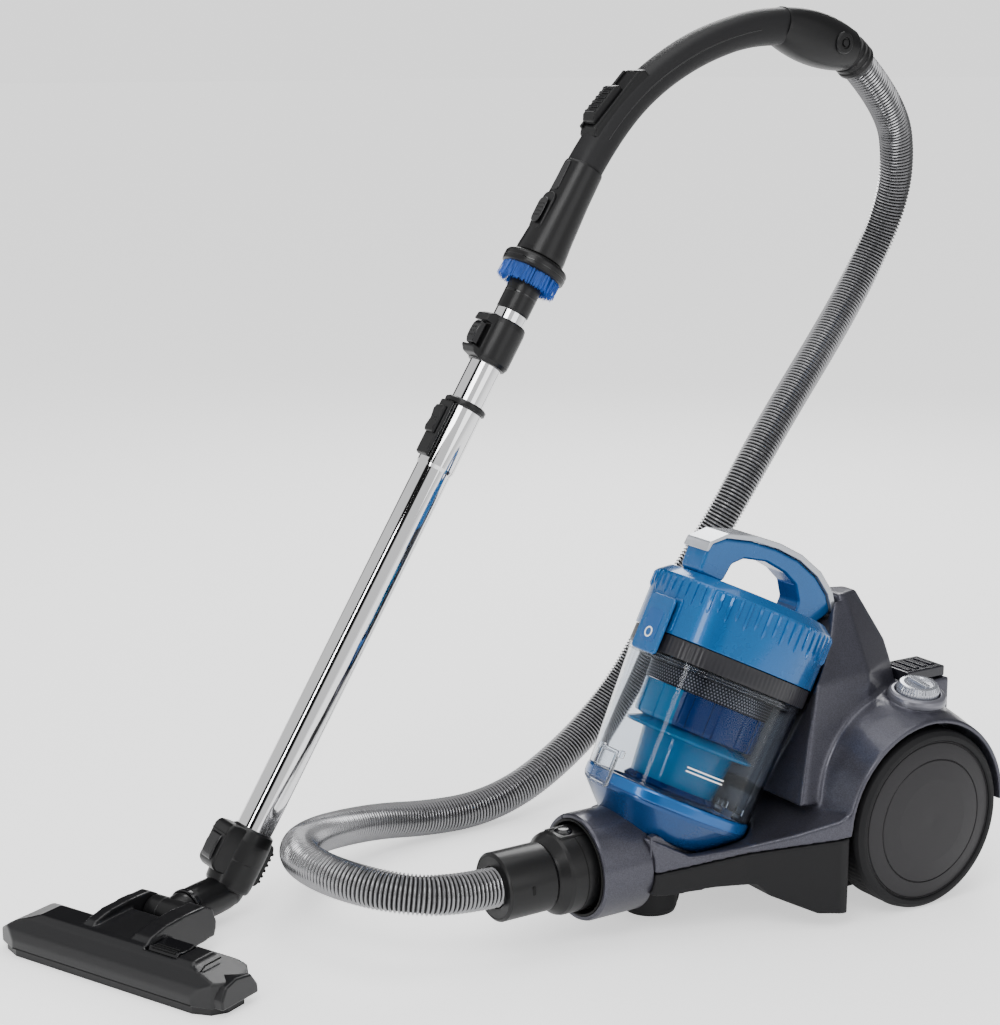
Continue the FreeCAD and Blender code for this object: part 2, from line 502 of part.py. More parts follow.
# flap latch: clear lever on small trunnions in front of the flap's rim
fl = fuse("flap_latch_sum", [box("flap_latch_plate", (-13.2, -83.2, 25), (13.2, -80.2, 61.3)), box("flap_latch_hook", (-9, -80.3, 25), (9, -79.5, 28.4)), cyl("flap_latch_pin", 1.5, 33.6, (-16.8, -81.6, 59), Rotation(Vector(0, 1, 0), 90))])
final(fl, "flap_latch", CUP)
hp = cyl("flap_hinge_pin", 2.0, 40)
PINL = CUP * Placement(Vector(-20, 82, 44), Rotation(Vector(0, 1, 0), 90))
final(hp, "flap_hinge_pin", PINL)

# ================================================================== hose and its ends
turned("hose_cuff", [("hose_rad+0.6", -398.5), ("cuff_rad-3", -399), ("cuff_rad", -397), ("cuff_rad", -350), ("cuff_rad-2", -348.2), (16, -348.2), (16, -386.7), ("hose_rad+0.6", -386.7)], INLET)
cnb = turned("connector_blank", [(16, -348), ("cuff_rad-2", -348), ("conn_rad-2", -341), ("conn_rad", -338), ("conn_rad", -292), ("conn_rad-3", -288), (23, -288), (23, -262.6), (21, -262.6), (16, -300)], INLET)
PIECES.remove(cnb)
cnb.Placement = INLET
btn_pocket = box("conn_button_room", (-9.3, -333.3, 92), (9.3, -316.7, 110))
cn = cut("cuff_connector", cnb, btn_pocket)
final(cn, "cuff_connector", WORLD)
cb = box("cuff_button", (0, 0, 0), (18, 16, 8.5))
final(cb, "cuff_button", Placement(Vector(-9, -333, 96.4), Rotation()))

HOSE = [
    (0.0, -387.0, 64.5), (0.4, -439.8, 65.1), (-24.5, -486.7, 70.1), (-68.7, -516.3, 74.4), (-121.7, -522.3, 73.3),
    (-173.4, -503.5, 64.9), (-217.4, -465.9, 54.0), (-250.3, -418.3, 42.1), (-270.0, -363.1, 32.0), (-276.4, -304.6, 20.9),
    (-276.8, -246.2, 18.1), (-280.8, -190.6, 28.2), (-287.5, -138.6, 49.8), (-291.8, -91.9, 79.3), (-290.5, -53.9, 117.6),
    (-282.9, -26.2, 164.0), (-268.4, -3.6, 211.9), (-252.7, 19.2, 258.8), (-243.5, 45.0, 304.5), (-243.7, 75.7, 348.0),
    (-250.1, 111.7, 388.8), (-259.0, 151.2, 428.2), (-268.8, 191.7, 466.9), (-277.8, 230.1, 506.5), (-280.9, 262.3, 549.6),
    (-272.8, 282.1, 598.5), (-256.3, 282.9, 656.6), (-238.4, 255.1, 722.1), (-232.3, 197.2, 767.2),
]
hose, hose_wire, hose_radii = pipe("hose_tube", HOSE, VAL["hose_rad"])

# ================================================================== handle
HV = [Vector(*p) for p in HOSE]
ENDD = (HV[-2] - HV[-1]).normalize()            # direction in which the hose leaves the handle
ENDX = ENDD.cross(Vector(1, 0, 0)).normalize()
COLL = Placement(HV[-1], rot_cols(ENDX, ENDD.cross(ENDX), ENDD))
turned("hose_collar", [(0, -23.2), (20, -23.2), (21, -20), (21, -16), (19.6, -15), (21, -14), (21, -10), (19.6, -9), (21, -8), (21, -3), (19.5, -0.3), (0, -0.3)], COLL)


def wp(s, z):
    return ELBOW + WH * s + Vector(0, 0, z - ELBOW.z)


def along(d, x=0.0, y=0.0):
    return ELBOW + WD * d + WT * x + WD.cross(WT) * y


GRIP = [along(763.0), wp(437, 711), wp(465, 738), wp(500, 762.5), wp(545, 785), wp(596, 800.5), wp(652, 806)]
grip_o, grip_wire, grip_radii = pipe("grip_blank", GRIP, VAL["grip_rad"], done=False)
# swivel housing: fat barrel at the handle's rear, open to the hose collar
HB = wp(650, 806)
HDIR = (HV[-1] - ENDD * -0.0 - ENDD * 24.0 - HB).normalize()
HLEN = (HV[-1] - ENDD * 24.0 - HB).Length
HX = HDIR.cross(Vector(1, 0, 0)).normalize()
HSG = Placement(HB, rot_cols(HX, HDIR.cross(HX), HDIR))
hs = turned("house_barrel", [(0, 2), (14, 2), (19, 8), (25, 26), ("house_rad", 44), ("house_rad", 62), (25, 72), (22, HLEN - 4), (0, HLEN - 4)], HSG)
PIECES.remove(hs)
hs.Placement = HSG
hs_end = turned("house_end", [(0, -46), (22, -46), (24, -36), (23, -23.5), (0, -23.5)], COLL)
PIECES.remove(hs_end)
hs_end.Placement = COLL
hs_boss = doc.addObject("Part::Cylinder", "house_boss")
hs_boss.Radius = 11
hs_boss.Height = 58
hs_boss.Placement = Placement(wp(716, 789) - WN * 29.0, Rotation(Vector(0, 0, 1), WN))
swb = fuse("house_sum", [hs, hs_end, hs_boss])
coll_room = cyl("collar_side_room", 60, 60)
coll_room.Placement = COLL * Placement(Vector(0, 0, -23.5), Rotation())
sw_cut = cut("swivel_housing", swb, [grip_o, coll_room])
final(sw_cut, "swivel_housing", WORLD)

# grip shell with a slot for the suction slider
SDIR = (wp(478, 750) - wp(425, 697)).normalize()
SUP = SDIR.cross(WN)
if SUP.z < 0:
    SUP = SUP * -1.0
SMID = wp(450.5, 722.5)
SLID = Placement(SMID, rot_cols(SDIR, SUP.cross(SDIR), SUP))
pad_box = doc.addObject("Part::Box", "slider_pad")
pad_box.Length = 84
pad_box.Width = 26
pad_box.Height = 14
pad_box.Placement = SLID * Placement(Vector(-42, -13, 7), Rotation())
rail_room = doc.addObject("Part::Box", "slider_room")
rail_room.Length = 74
rail_room.Width = 19
rail_room.Height = 8
rail_room.Placement = SLID * Placement(Vector(-37, -9.5, 17), Rotation())
gs = fuse("grip_sum", [grip_o, pad_box])
sleeve_room = cyl("sleeve_room", 40, 63.05)
sleeve_room.Placement = WAND * Placement(Vector(0, 0, 700), Rotation())
gcut = cut("grip_shell", gs, [rail_room, sleeve_room])
final(gcut, "grip_shell", WORLD)
sl1 = doc.addObject("Part::Box", "suction_slider")
sl1.Length = 46
sl1.Width = 18
sl1.Height = 11
final(sl1, "suction_slider", SLID * Placement(Vector(-33, -9, 17.4), Rotation()))

# sleeve, dusting brush and inner spigot on the wand's axis
sleeve_b = turned("sleeve_blank", [(17.4, 662), (24, 662), (24.5, 668), (22.5, 690), ("sleeve_rad", 730), ("sleeve_rad-0.6", 761), (19, 763), (0, 763), (0, 706), (17.4, 700)], WAND)
PIECES.remove(sleeve_b)
sleeve_b.Placement = WAND
bb_room = doc.addObject("Part::Box", "brush_button_room")
bb_room.Length = 10.3
bb_room.Width = 14.6
bb_room.Height = 26.6
bb_room.Placement = WAND * Placement(Vector(16.35, -7.3, 690.7), Rotation())
hsl = cut("handle_sleeve", sleeve_b, [bb_room])
final(hsl, "handle_sleeve", WORLD)
bbt = doc.addObject("Part::Box", "brush_button")
bbt.Length = 6.8
bbt.Width = 14
bbt.Height = 26
final(bbt, "brush_button", WAND * Placement(Vector(18.0, -7, 691), Rotation()))
turned("brush_ring", [("spigot_rad+0.35", 647), ("brush_rad-3", 647), ("brush_rad", 649), ("brush_rad", 658), ("brush_rad-5", 661.5), ("spigot_rad+0.35", 661.5)], WAND)
turned("brush_bristles", [(21, 633), (30.5, 633), (28.5, 646.9), (20, 646.9)], WAND)
turned("wand_spigot", [(13.2, 604.4), ("spigot_rad", 604.4), ("spigot_rad", 699.7), (13.2, 699.7)], WAND)

# ================================================================== wand
turned("inner_tube", [("inner_rad-1.2", "inner_low"), ("inner_rad", "inner_low"), ("inner_rad", "inner_top"), ("inner_rad-1.2", "inner_top")], WAND)
ub_ring = turned("tube_latch_ring", [("inner_rad+0.02", 548), (20.2, 549), (20.6, 556), (20.6, 588), (19.6, 594), ("inner_rad+0.02", 594)], WAND)
PIECES.remove(ub_ring)
ub_ring.Placement = WAND
ub_box = doc.addObject("Part::Box", "tube_latch_dome")
ub_box.Length = 13
ub_box.Width = 20
ub_box.Height = 42
ub_box.Placement = WAND * Placement(Vector(16.5, -10, 550), Rotation())
ub_pocket = doc.addObject("Part::Box", "tube_latch_pocket")
ub_pocket.Length = 12
ub_pocket.Width = 12.6
ub_pocket.Height = 24.6
ub_pocket.Placement = WAND * Placement(Vector(21.0, -6.3, 557.7), Rotation())
ubs = fuse("tube_latch_sum", [ub_ring, ub_box])
ubc = cut("tube_latch", ubs, [ub_pocket])
final(ubc, "tube_latch", WORLD)
final(box("tube_button", (0, 0, 0), (7.2, 12, 24)), "tube_button", WAND * Placement(Vector(23.5, -6, 558), Rotation()))
ot = turned("outer_blank", [("tube_rad-tube_wall", "tube_low+32"), ("tube_rad", "tube_low+32"), ("tube_rad", 436), ("tube_rad+1.3", 439), ("tube_rad+1.3", "tube_top-7"), ("tube_rad-tube_wall", "tube_top-7")], WAND)
PIECES.remove(ot)
final(ot, "outer_tube", WAND)
rg = turned("ring_blank", [("inner_rad+0.35", "tube_top-6.9"), ("tube_rad+1.3", "tube_top-6.9"), (20.8, "tube_top-5.5"), (20.8, "tube_top-1.5"), ("tube_rad+1.2", "tube_top"), ("inner_rad+0.35", "tube_top")], WAND)
PIECES.remove(rg)
rg.Placement = WAND
# lock slider rides in a low saddle on the front of the outer tube
sad = doc.addObject("Part::Box", "saddle_box")
sad.Length = 7
sad.Width = 18
sad.Height = 60
sad.Placement = WAND * Placement(Vector(15.5, -9, 442), Rotation())
tube_room = cyl("saddle_tube_room", "tube_rad+1.3", 70, (0, 0, 436))
tube_room.Placement = WAND * Placement(Vector(0, 0, 436), Rotation())
sadc = cut("lock_saddle", sad, [tube_room])
final(fuse("tube_ring", [rg, sadc]), "tube_ring", WORLD)
final(box("lock_slider", (0, 0, 0), (4.4, 14, 30)), "lock_slider", WAND * Placement(Vector(22.8, -7, 464), Rotation()))

# lower cuff: two-part black sleeve on the wand's foot, carrying the latch box and a rail
LOWC = turned("cuff_blank", [(12, 4), (21, 4), (22, 10), (22, 50), (20.5, 60), ("tube_rad+0.05", 61.9), (12, 61.9)], WAND)
PIECES.remove(LOWC)
LOWC.Placement = WAND
lbx = doc.addObject("Part::Box", "latch_house")
lbx.Length = 20
lbx.Width = 28
lbx.Height = 46
lbx.Placement = WAND * Placement(Vector(14, -14, 14), Rotation())
lbp = doc.addObject("Part::Box", "latch_house_room")
lbp.Length = 12
lbp.Width = 18.6
lbp.Height = 26.6
lbp.Placement = WAND * Placement(Vector(24.4, -9.3, 20.7), Rotation())
rail = doc.addObject("Part::Box", "cuff_rail")
rail.Length = 10
rail.Width = 12
rail.Height = 42
rail.Placement = WAND * Placement(Vector(-28, -6, 13), Rotation())
lc = fuse("lower_cuff_sum", [LOWC, lbx, rail])
lcc = cut("lower_cuff", lc, [lbp])
final(lcc, "lower_cuff", WORLD)
final(box("cuff_latch", (0, 0, 0), (9, 18, 26)), "cuff_latch", WAND * Placement(Vector(27, -9, 21), Rotation()))

# ================================================================== floor head
# neck: level tube from the barrel to the elbow, then a short stub up the wand's axis
neck_wire, neck_radii = route([HEAD0 + HN * 103.0 + Vector(0, 0, 26), HEAD0 + HN * 148.0 + Vector(0, 0, 26), ELBOW + WD * 20.0])
nk = doc.addObject("Part::Feature", "neck_sweep")
_d = (neck_wire.OrderedVertexes[1].Point - neck_wire.OrderedVertexes[0].Point)
_sw = Part.BRepOffsetAPI.MakePipeShell(neck_wire)
_sw.setTransitionMode(1)
_sw.add(Part.Wire([Part.makeCircle(VAL["neck_rad"], neck_wire.OrderedVertexes[0].Point, _d)]))
_sw.build()
_sw.makeSolid()
nk.Shape = _sw.shape()
nk_floor = box("neck_floor_room", (-400, -800, -40), (100, -400, 8.4))
nk_cuff = turned("neck_cuff_room", [(0, 3.7), (40, 3.7), (40, 80), (0, 80)], WAND)
PIECES.remove(nk_cuff)
nk_cuff.Placement = WAND
nk2 = cut("neck_tube", nk, [nk_floor, nk_cuff])
final(nk2, "neck_tube", WORLD)

# seam ring between the barrel piece and the neck, on the neck's swivel axis
NECKA = Placement(HEAD0 + Vector(0, 0, VAL["barrel_z"]), rot_cols(Vector(0, 0, 1), HN.cross(Vector(0, 0, 1)), HN))
bar = doc.addObject("Part::Cylinder", "barrel_roll")
bind(bar, "Radius", "barrel_rad")
bar.Height = 44
bar.Placement = HEAD * Placement(Vector(-22, VAL["barrel_b"], VAL["barrel_z"]), Rotation(Vector(0, 1, 0), 90))
barn = turned("barrel_neck", [(0, 86), (14, 86), (16, 98), (16, 102.7), (0, 102.7)], NECKA)
PIECES.remove(barn)
barn.Placement = NECKA
brp = cyl("barrel_trunnion", 4.0, 60, (0, 0, 0))
brp.Placement = HEAD * Placement(Vector(-30, VAL["barrel_b"], VAL["barrel_z"]), Rotation(Vector(0, 1, 0), 90))
bars = fuse("neck_barrel", [bar, barn, brp])
final(bars, "neck_barrel", WORLD)

# head shell: low body with faceted ends and two raised arms that hold the barrel
OUT = [(-131, -8), (-125, -22), (-104, -30), (104, -30), (123, -24), (131, -10), (131, 14), (121, 24), (66, 27), (50, 34), (-50, 34), (-66, 27), (-121, 24), (-131, 12)]
hshell = prism("shell_blank", OUT, "head_high", HEADB, "XY_Plane", mid=False, finish=False)
pocket(hshell, "shell_under", [(-150, -5), (150, -5), (150, 7.3), (-150, 7.3)], "XZ_Plane")
pocket(hshell, "shell_top_right", [(92, 39), (150, 39), (150, 22), (126, 29), (94, 36)], "XZ_Plane")
pocket(hshell, "shell_top_left", [(-84, 39), (-150, 39), (-150, 12), (-126, 20), (-108, 31), (-88, 37)], "XZ_Plane")
pocket(hshell, "shell_front", [(-40, 16), (-31, 12), (-27, 26), (-19, 34), (-8, 39), (-40, 39)], "YZ_Plane")
pocket(hshell, "shell_back", [(44, 14), (34, 22), (24, 32), (12, 39), (44, 39)], "YZ_Plane")
doc.recompute()
hshell.Placement = HEADB
arm = doc.addObject("PartDesign::Body", "arm_blank")
sk = polygon(arm, "arm_outline", [(4, 12), (30, 10), (70, 12), (96, 14), (99, 26), (94, 40), (84, 45.5), (60, 46.5), (34, 45.5), (16, 41.5), (4, 36)], "YZ_Plane", -34.0)
pd = arm.newObject("PartDesign::Pad", "arm_pad")
pd.Profile = sk
pd.Length = 76
arm.Tip = pd
arm.Placement = HEAD
arm_gap = box("arm_gap", (-22.5, 60, -5), (22.5, 120, 60))
arm_gap.Placement = HEAD * arm_gap.Placement
arm_deck = box("arm_deck_room", (-22.5, 0, 38.2), (22.5, 61, 70))
arm_deck.Placement = HEAD * arm_deck.Placement
arm_gap2 = cyl("arm_gap2", 17, 45, (0, 0, 0))
arm_gap2.Placement = HEAD * Placement(Vector(-22.5, VAL["barrel_b"], VAL["barrel_z"]), Rotation(Vector(0, 1, 0), 90))
arm_pin = cyl("arm_pin_room", 4.06, 61, (0, 0, 0))
arm_pin.Placement = HEAD * Placement(Vector(-30.5, VAL["barrel_b"], VAL["barrel_z"]), Rotation(Vector(0, 1, 0), 90))
rk_room = box("rocker_room", (37.5, -12, 24), (74.5, 19.5, 62))
rk_room.Placement = HEADB * rk_room.Placement
duct = box("head_duct", (-16, -6, 5), (16, 22, 26))
duct.Placement = HEADB * duct.Placement
slotb = box("brush_room", (-105.5, -21.5, 5), (105.5, -12.5, 14))
slotb.Placement = HEADB * slotb.Placement
hsum = fuse("head_sum", [hshell, arm])
hcut = cut("head_shell", hsum, [arm_gap, arm_gap2, arm_deck, arm_pin, rk_room, duct, slotb])
final(hcut, "head_shell", WORLD)
# sole plate with the suction mouth and a lip, standing on the floor
sole = prism("sole_blank", [(-127, -8), (-121, -20), (-103, -27), (103, -27), (119, -21), (127, -9), (127, 12), (118, 21), (64, 24), (48, 30), (-48, 30), (-64, 24), (-118, 21), (-127, 10)], 7.0, HEADB, "XY_Plane", mid=False, finish=False)
so = doc.addObject("Part::Box", "mouth")
so.Length = 60
so.Width = 16
so.Height = 30
so.Placement = Placement(Vector(-30, -5, -2), Rotation())
so2 = doc.addObject("Part::Box", "brush_slit")
so2.Length = 211
so2.Width = 9
so2.Height = 30
so2.Placement = Placement(Vector(-105.5, -21.5, -2), Rotation())
soc = cut("sole_plate", sole, [so, so2])
final(soc, "sole_plate", HEADB)
final(box("brush_strip", (0, 0, 0), (210, 8, 8)), "brush_strip", HEADB * Placement(Vector(-105, -21, 5.7), Rotation()))
RKP = Placement(Vector(56, 3.5, 31), Rotation())
rk = prism("rocker_outline", [(-13.5, -2), (13.5, -2), (13.5, 4), (10, 8), (0, 6), (-10, 8), (-13.5, 4)], 36, Placement(), "YZ_Plane", finish=False)
rk_pin = cyl("rocker_pin", 2.4, 36.8, (-18.4, 0, 0.4), Rotation(Vector(0, 1, 0), 90))
rk_sum = fuse("rocker_sum", [rk, rk_pin])
final(rk_sum, "rocker_pedal", HEADB * RKP)

# ================================================================== write
doc.recompute()

names = [o.Label for o in PIECES]
assert len(names) == len(set(names)), "two pieces share a label"
bad = []
for o in doc.Objects:
    if "Invalid" in o.State or "Error" in o.State:
        bad.append((o.Name, list(o.State)))
for o in PIECES:
    sh = o.Shape
    if sh.isNull() or not sh.isValid() or len(sh.Solids) < 1 or sh.Volume <= 0:
        bad.append((o.Label, "shape", sh.isNull(), None if sh.isNull() else sh.isValid()))
if bad:
    for b in bad:
        print("BAD", b)
    raise SystemExit("some objects failed")
xs = [o.Shape.BoundBox for o in PIECES if o.Label != "hose_tube"]
print("box without the hose: X %.2f %.2f  Y %.2f %.2f  Z %.2f %.2f" % (min(b.XMin for b in xs), max(b.XMax for b in xs), min(b.YMin for b in xs), max(b.YMax for b in xs), min(b.ZMin for b in xs), max(b.ZMax for b in xs)))
hb = hose.Shape.BoundBox
print("hose box: X %.2f %.2f  Y %.2f %.2f  Z %.2f %.2f" % (hb.XMin, hb.XMax, hb.YMin, hb.YMax, hb.ZMin, hb.ZMax))
print("hose length %.1f, volume over section x length %.5f" % (hose_wire.Length, hose.Shape.Volume / (math.pi * VAL["hose_rad"] ** 2 * hose_wire.Length)))
print("hose radii", " ".join("%.0f" % q for q in hose_radii))
print("grip radii", " ".join("%.0f" % q for q in grip_radii), "neck radii", " ".join("%.0f" % q for q in neck_radii))
for o in PIECES:
    o.Shape.exportStep("parts/%s.step" % o.Label)
    print("%-20s solids %d  volume %.0f  faces %d" % (o.Label, len(o.Shape.Solids), o.Shape.Volume, len(o.Shape.Faces)))
print(len(PIECES), "pieces written")
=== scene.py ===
import bpy, bmesh, math, json, random
import numpy as np
from mathutils import Matrix, Vector

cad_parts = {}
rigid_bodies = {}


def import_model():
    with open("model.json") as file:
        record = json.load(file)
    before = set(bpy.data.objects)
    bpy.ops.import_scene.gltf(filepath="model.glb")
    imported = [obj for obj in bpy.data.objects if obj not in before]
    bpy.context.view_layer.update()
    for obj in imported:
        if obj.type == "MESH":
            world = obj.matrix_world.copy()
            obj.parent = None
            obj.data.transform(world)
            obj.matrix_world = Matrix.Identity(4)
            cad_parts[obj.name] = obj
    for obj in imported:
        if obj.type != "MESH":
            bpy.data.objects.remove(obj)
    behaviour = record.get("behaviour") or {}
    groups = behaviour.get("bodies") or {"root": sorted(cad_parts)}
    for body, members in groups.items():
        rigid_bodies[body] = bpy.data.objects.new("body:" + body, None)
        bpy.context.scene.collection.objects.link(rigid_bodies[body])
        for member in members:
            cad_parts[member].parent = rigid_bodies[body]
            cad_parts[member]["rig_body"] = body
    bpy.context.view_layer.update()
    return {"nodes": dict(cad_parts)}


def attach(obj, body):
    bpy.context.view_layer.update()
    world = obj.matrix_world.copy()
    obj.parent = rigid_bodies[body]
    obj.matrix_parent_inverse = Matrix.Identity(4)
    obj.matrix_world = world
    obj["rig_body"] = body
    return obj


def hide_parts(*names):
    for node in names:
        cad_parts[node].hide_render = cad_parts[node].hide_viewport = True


for _o in list(bpy.data.objects):
    bpy.data.objects.remove(_o)
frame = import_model()
NODES = frame["nodes"]
SC = bpy.context.scene
SHIFT = np.array([68.4, 275.68, 0.0])


def M(p):
    """Working millimetres to metres in the model's frame."""
    return Vector(((np.array(p, float) + SHIFT) / 1000.0).tolist())


# ---------------------------------------------------------------- camera
cam_data = bpy.data.cameras.new("camera")
cam_data.lens = 73.756
cam_data.sensor_width = 36.0
cam_data.sensor_fit = "AUTO"
cam_data.clip_end = 50
cam = bpy.data.objects.new("camera", cam_data)
SC.collection.objects.link(cam)
cr, cu, cb = Vector((0.53435235, 0.84526183, 0.0)), Vector((-0.18438816, 0.11656535, 0.97591676)), Vector((0.82490519, -0.52148341, 0.21814324))
cl = M((1465.18, -1317.78, 788.93))
cam.matrix_world = Matrix(((cr.x, cu.x, cb.x, cl.x), (cr.y, cu.y, cb.y, cl.y), (cr.z, cu.z, cb.z, cl.z), (0, 0, 0, 1)))
SC.camera = cam

# ---------------------------------------------------------------- frames in working millimetres


def T(base, x, y, z):
    m = np.eye(4)
    m[:3, 0], m[:3, 1], m[:3, 2], m[:3, 3] = x, y, z, base
    return m


c265, s265 = math.cos(math.radians(26.5)), math.sin(math.radians(26.5))
WORLD = np.eye(4)
CUP = T((0, -226.4, 79.7), (1, 0, 0), (0, c265, -s265), (0, s265, c265))
INLET = T((0, 0, 64.5), (1, 0, 0), (0, 0, -1), (0, 1, 0))
AXL = T((0, 0, 86), (0, 0, -1), (0, 1, 0), (1, 0, 0))
AXR = T((0, 0, 86), (0, 0, 1), (0, 1, 0), (-1, 0, 0))
HL = np.array([0.912, 0.410, 0.0]); HL /= np.linalg.norm(HL)
HN = np.array([-HL[1], HL[0], 0.0])
UZ = np.array([0, 0, 1.0])
H0 = np.array([-141.3, -706.1, 0.0])
HEAD = T(H0, HL, HN, UZ)
HEADB = T(H0 + HL * 6 + HN * 16, HL, HN, UZ)
ELB = H0 + HN * 157 + UZ * 26
HOSE = [(0.0, -387.0, 64.5), (0.4, -439.8, 65.1), (-24.5, -486.7, 70.1), (-68.7, -516.3, 74.4), (-121.7, -522.3, 73.3),
        (-173.4, -503.5, 64.9), (-217.4, -465.9, 54.0), (-250.3, -418.3, 42.1), (-270.0, -363.1, 32.0), (-276.4, -304.6, 20.9),
        (-276.8, -246.2, 18.1), (-280.8, -190.6, 28.2), (-287.5, -138.6, 49.8), (-291.8, -91.9, 79.3), (-290.5, -53.9, 117.6),
        (-282.9, -26.2, 164.0), (-268.4, -3.6, 211.9), (-252.7, 19.2, 258.8), (-243.5, 45.0, 304.5), (-243.7, 75.7, 348.0),
        (-250.1, 111.7, 388.8), (-259.0, 151.2, 428.2), (-268.8, 191.7, 466.9), (-277.8, 230.1, 506.5), (-280.9, 262.3, 549.6),
        (-272.8, 282.1, 598.5), (-256.3, 282.9, 656.6), (-238.4, 255.1, 722.1), (-232.3, 197.2, 767.2)]
PEND = np.array(HOSE[-1])
WH = PEND - ELB; WH[2] = 0; WH /= np.linalg.norm(WH)
WN = np.array([-WH[1], WH[0], 0.0])
wa = math.radians(57.8)
WD = WH * math.cos(wa) + UZ * math.sin(wa)
WT = -WH * math.sin(wa) + UZ * math.cos(wa)
WS = np.cross(WD, WT)
WAND = T(ELB, WT, WS, WD)
ENDD = np.array(HOSE[-2]) - PEND; ENDD /= np.linalg.norm(ENDD)
EX = np.cross(ENDD, [1, 0, 0]); EX /= np.linalg.norm(EX)
COLL = T(PEND, EX, np.cross(ENDD, EX), ENDD)


def wp(s, z):
    return np.array([ELB[0], ELB[1], 0]) + WH * s + UZ * z


def along(d, x=0.0, y=0.0):
    return ELB + WD * d + WT * x + WS * y


SDIR = wp(478, 750) - wp(425, 697); SDIR /= np.linalg.norm(SDIR)
SUP = np.cross(SDIR, WN)
if SUP[2] < 0:
    SUP = -SUP
SLID = T(wp(450.5, 722.5), SDIR, np.cross(SUP, SDIR), SUP)
HB = wp(650, 806)
HE = PEND + ENDD * -24.0
HDIR = (HE - HB) / np.linalg.norm(HE - HB)
HLEN = float(np.linalg.norm(HE - HB))
HX = np.cross(HDIR, [1, 0, 0]); HX /= np.linalg.norm(HX)
HSG = T(HB, HX, np.cross(HDIR, HX), HDIR)
k86 = math.radians(8.6)
KNOB = T((84.72, 16, 191.5), (math.cos(k86), 0, -math.sin(k86)), (0, 1, 0), (math.sin(k86), 0, math.cos(k86)))


def tf(m, p):
    p = np.atleast_2d(np.array(p, float))
    return p @ m[:3, :3].T + m[:3, 3]


# ---------------------------------------------------------------- materials


def mat(name, col, rough=0.4, metal=0.0, coat=0.0, coat_rough=0.1, bump=0.0, scale=800.0, var=0.06, rvar=0.08, trans=0.0, ior=1.46, aniso=0.0, flake=0.0, alpha=1.0, spec=0.5, vscale=30.0, sheen=0.0):
    m = bpy.data.materials.new(name)
    m.use_nodes = True
    nt = m.node_tree
    b = nt.nodes["Principled BSDF"]
    b.inputs["Metallic"].default_value = metal
    b.inputs["Roughness"].default_value = rough
    b.inputs["IOR"].default_value = ior
    b.inputs["Coat Weight"].default_value = coat
    b.inputs["Coat Roughness"].default_value = coat_rough
    b.inputs["Transmission Weight"].default_value = trans
    b.inputs["Specular IOR Level"].default_value = spec
    b.inputs["Alpha"].default_value = alpha
    b.inputs["Base Color"].default_value = (*col, 1)
    if sheen:
        b.inputs["Sheen Weight"].default_value = sheen
    if aniso:
        b.inputs["Anisotropic"].default_value = aniso
    tc = nt.nodes.new("ShaderNodeTexCoord")
    n1 = nt.nodes.new("ShaderNodeTexNoise")
    n1.inputs["Scale"].default_value = vscale
    n1.inputs["Detail"].default_value = 5
    nt.links.new(tc.outputs["Object"], n1.inputs["Vector"])
    if var:
        ramp = nt.nodes.new("ShaderNodeMix")
        ramp.data_type = "RGBA"
        ramp.inputs[6].default_value = tuple([q * (1 - var) for q in col] + [1])
        ramp.inputs[7].default_value = tuple([min(1, q * (1 + var)) for q in col] + [1])
        nt.links.new(n1.outputs["Fac"], ramp.inputs[0])
        src = ramp.outputs[2]
        if flake:
            fl = nt.nodes.new("ShaderNodeTexVoronoi")
            fl.inputs["Scale"].default_value = 1600
            nt.links.new(tc.outputs["Object"], fl.inputs["Vector"])
            mr = nt.nodes.new("ShaderNodeMapRange")
            mr.inputs[1].default_value = 0.0
            mr.inputs[2].default_value = 1.0
            mr.inputs[3].default_value = 1.0 - flake
            mr.inputs[4].default_value = 1.0 + flake
            sep = nt.nodes.new("ShaderNodeSeparateColor")
            nt.links.new(fl.outputs["Color"], sep.inputs[0])
            nt.links.new(sep.outputs[0], mr.inputs[0])
            mul = nt.nodes.new("ShaderNodeVectorMath")
            mul.operation = "SCALE"
            nt.links.new(src, mul.inputs[0])
            nt.links.new(mr.outputs[0], mul.inputs["Scale"])
            src = mul.outputs[0]
        nt.links.new(src, b.inputs["Base Color"])
    if rvar:
        mr2 = nt.nodes.new("ShaderNodeMapRange")
        mr2.inputs[3].default_value = max(0.0, rough - rvar / 2)
        mr2.inputs[4].default_value = min(1.0, rough + rvar / 2)
        nt.links.new(n1.outputs["Fac"], mr2.inputs[0])
        nt.links.new(mr2.outputs[0], b.inputs["Roughness"])
    if bump:
        n2 = nt.nodes.new("ShaderNodeTexNoise")
        n2.inputs["Scale"].default_value = scale
        n2.inputs["Detail"].default_value = 3
        nt.links.new(tc.outputs["Object"], n2.inputs["Vector"])
        bp = nt.nodes.new("ShaderNodeBump")
        bp.inputs["Strength"].default_value = bump
        bp.inputs["Distance"].default_value = 0.0002
        nt.links.new(n2.outputs["Fac"], bp.inputs["Height"])
        nt.links.new(bp.outputs[0], b.inputs["Normal"])
    return m


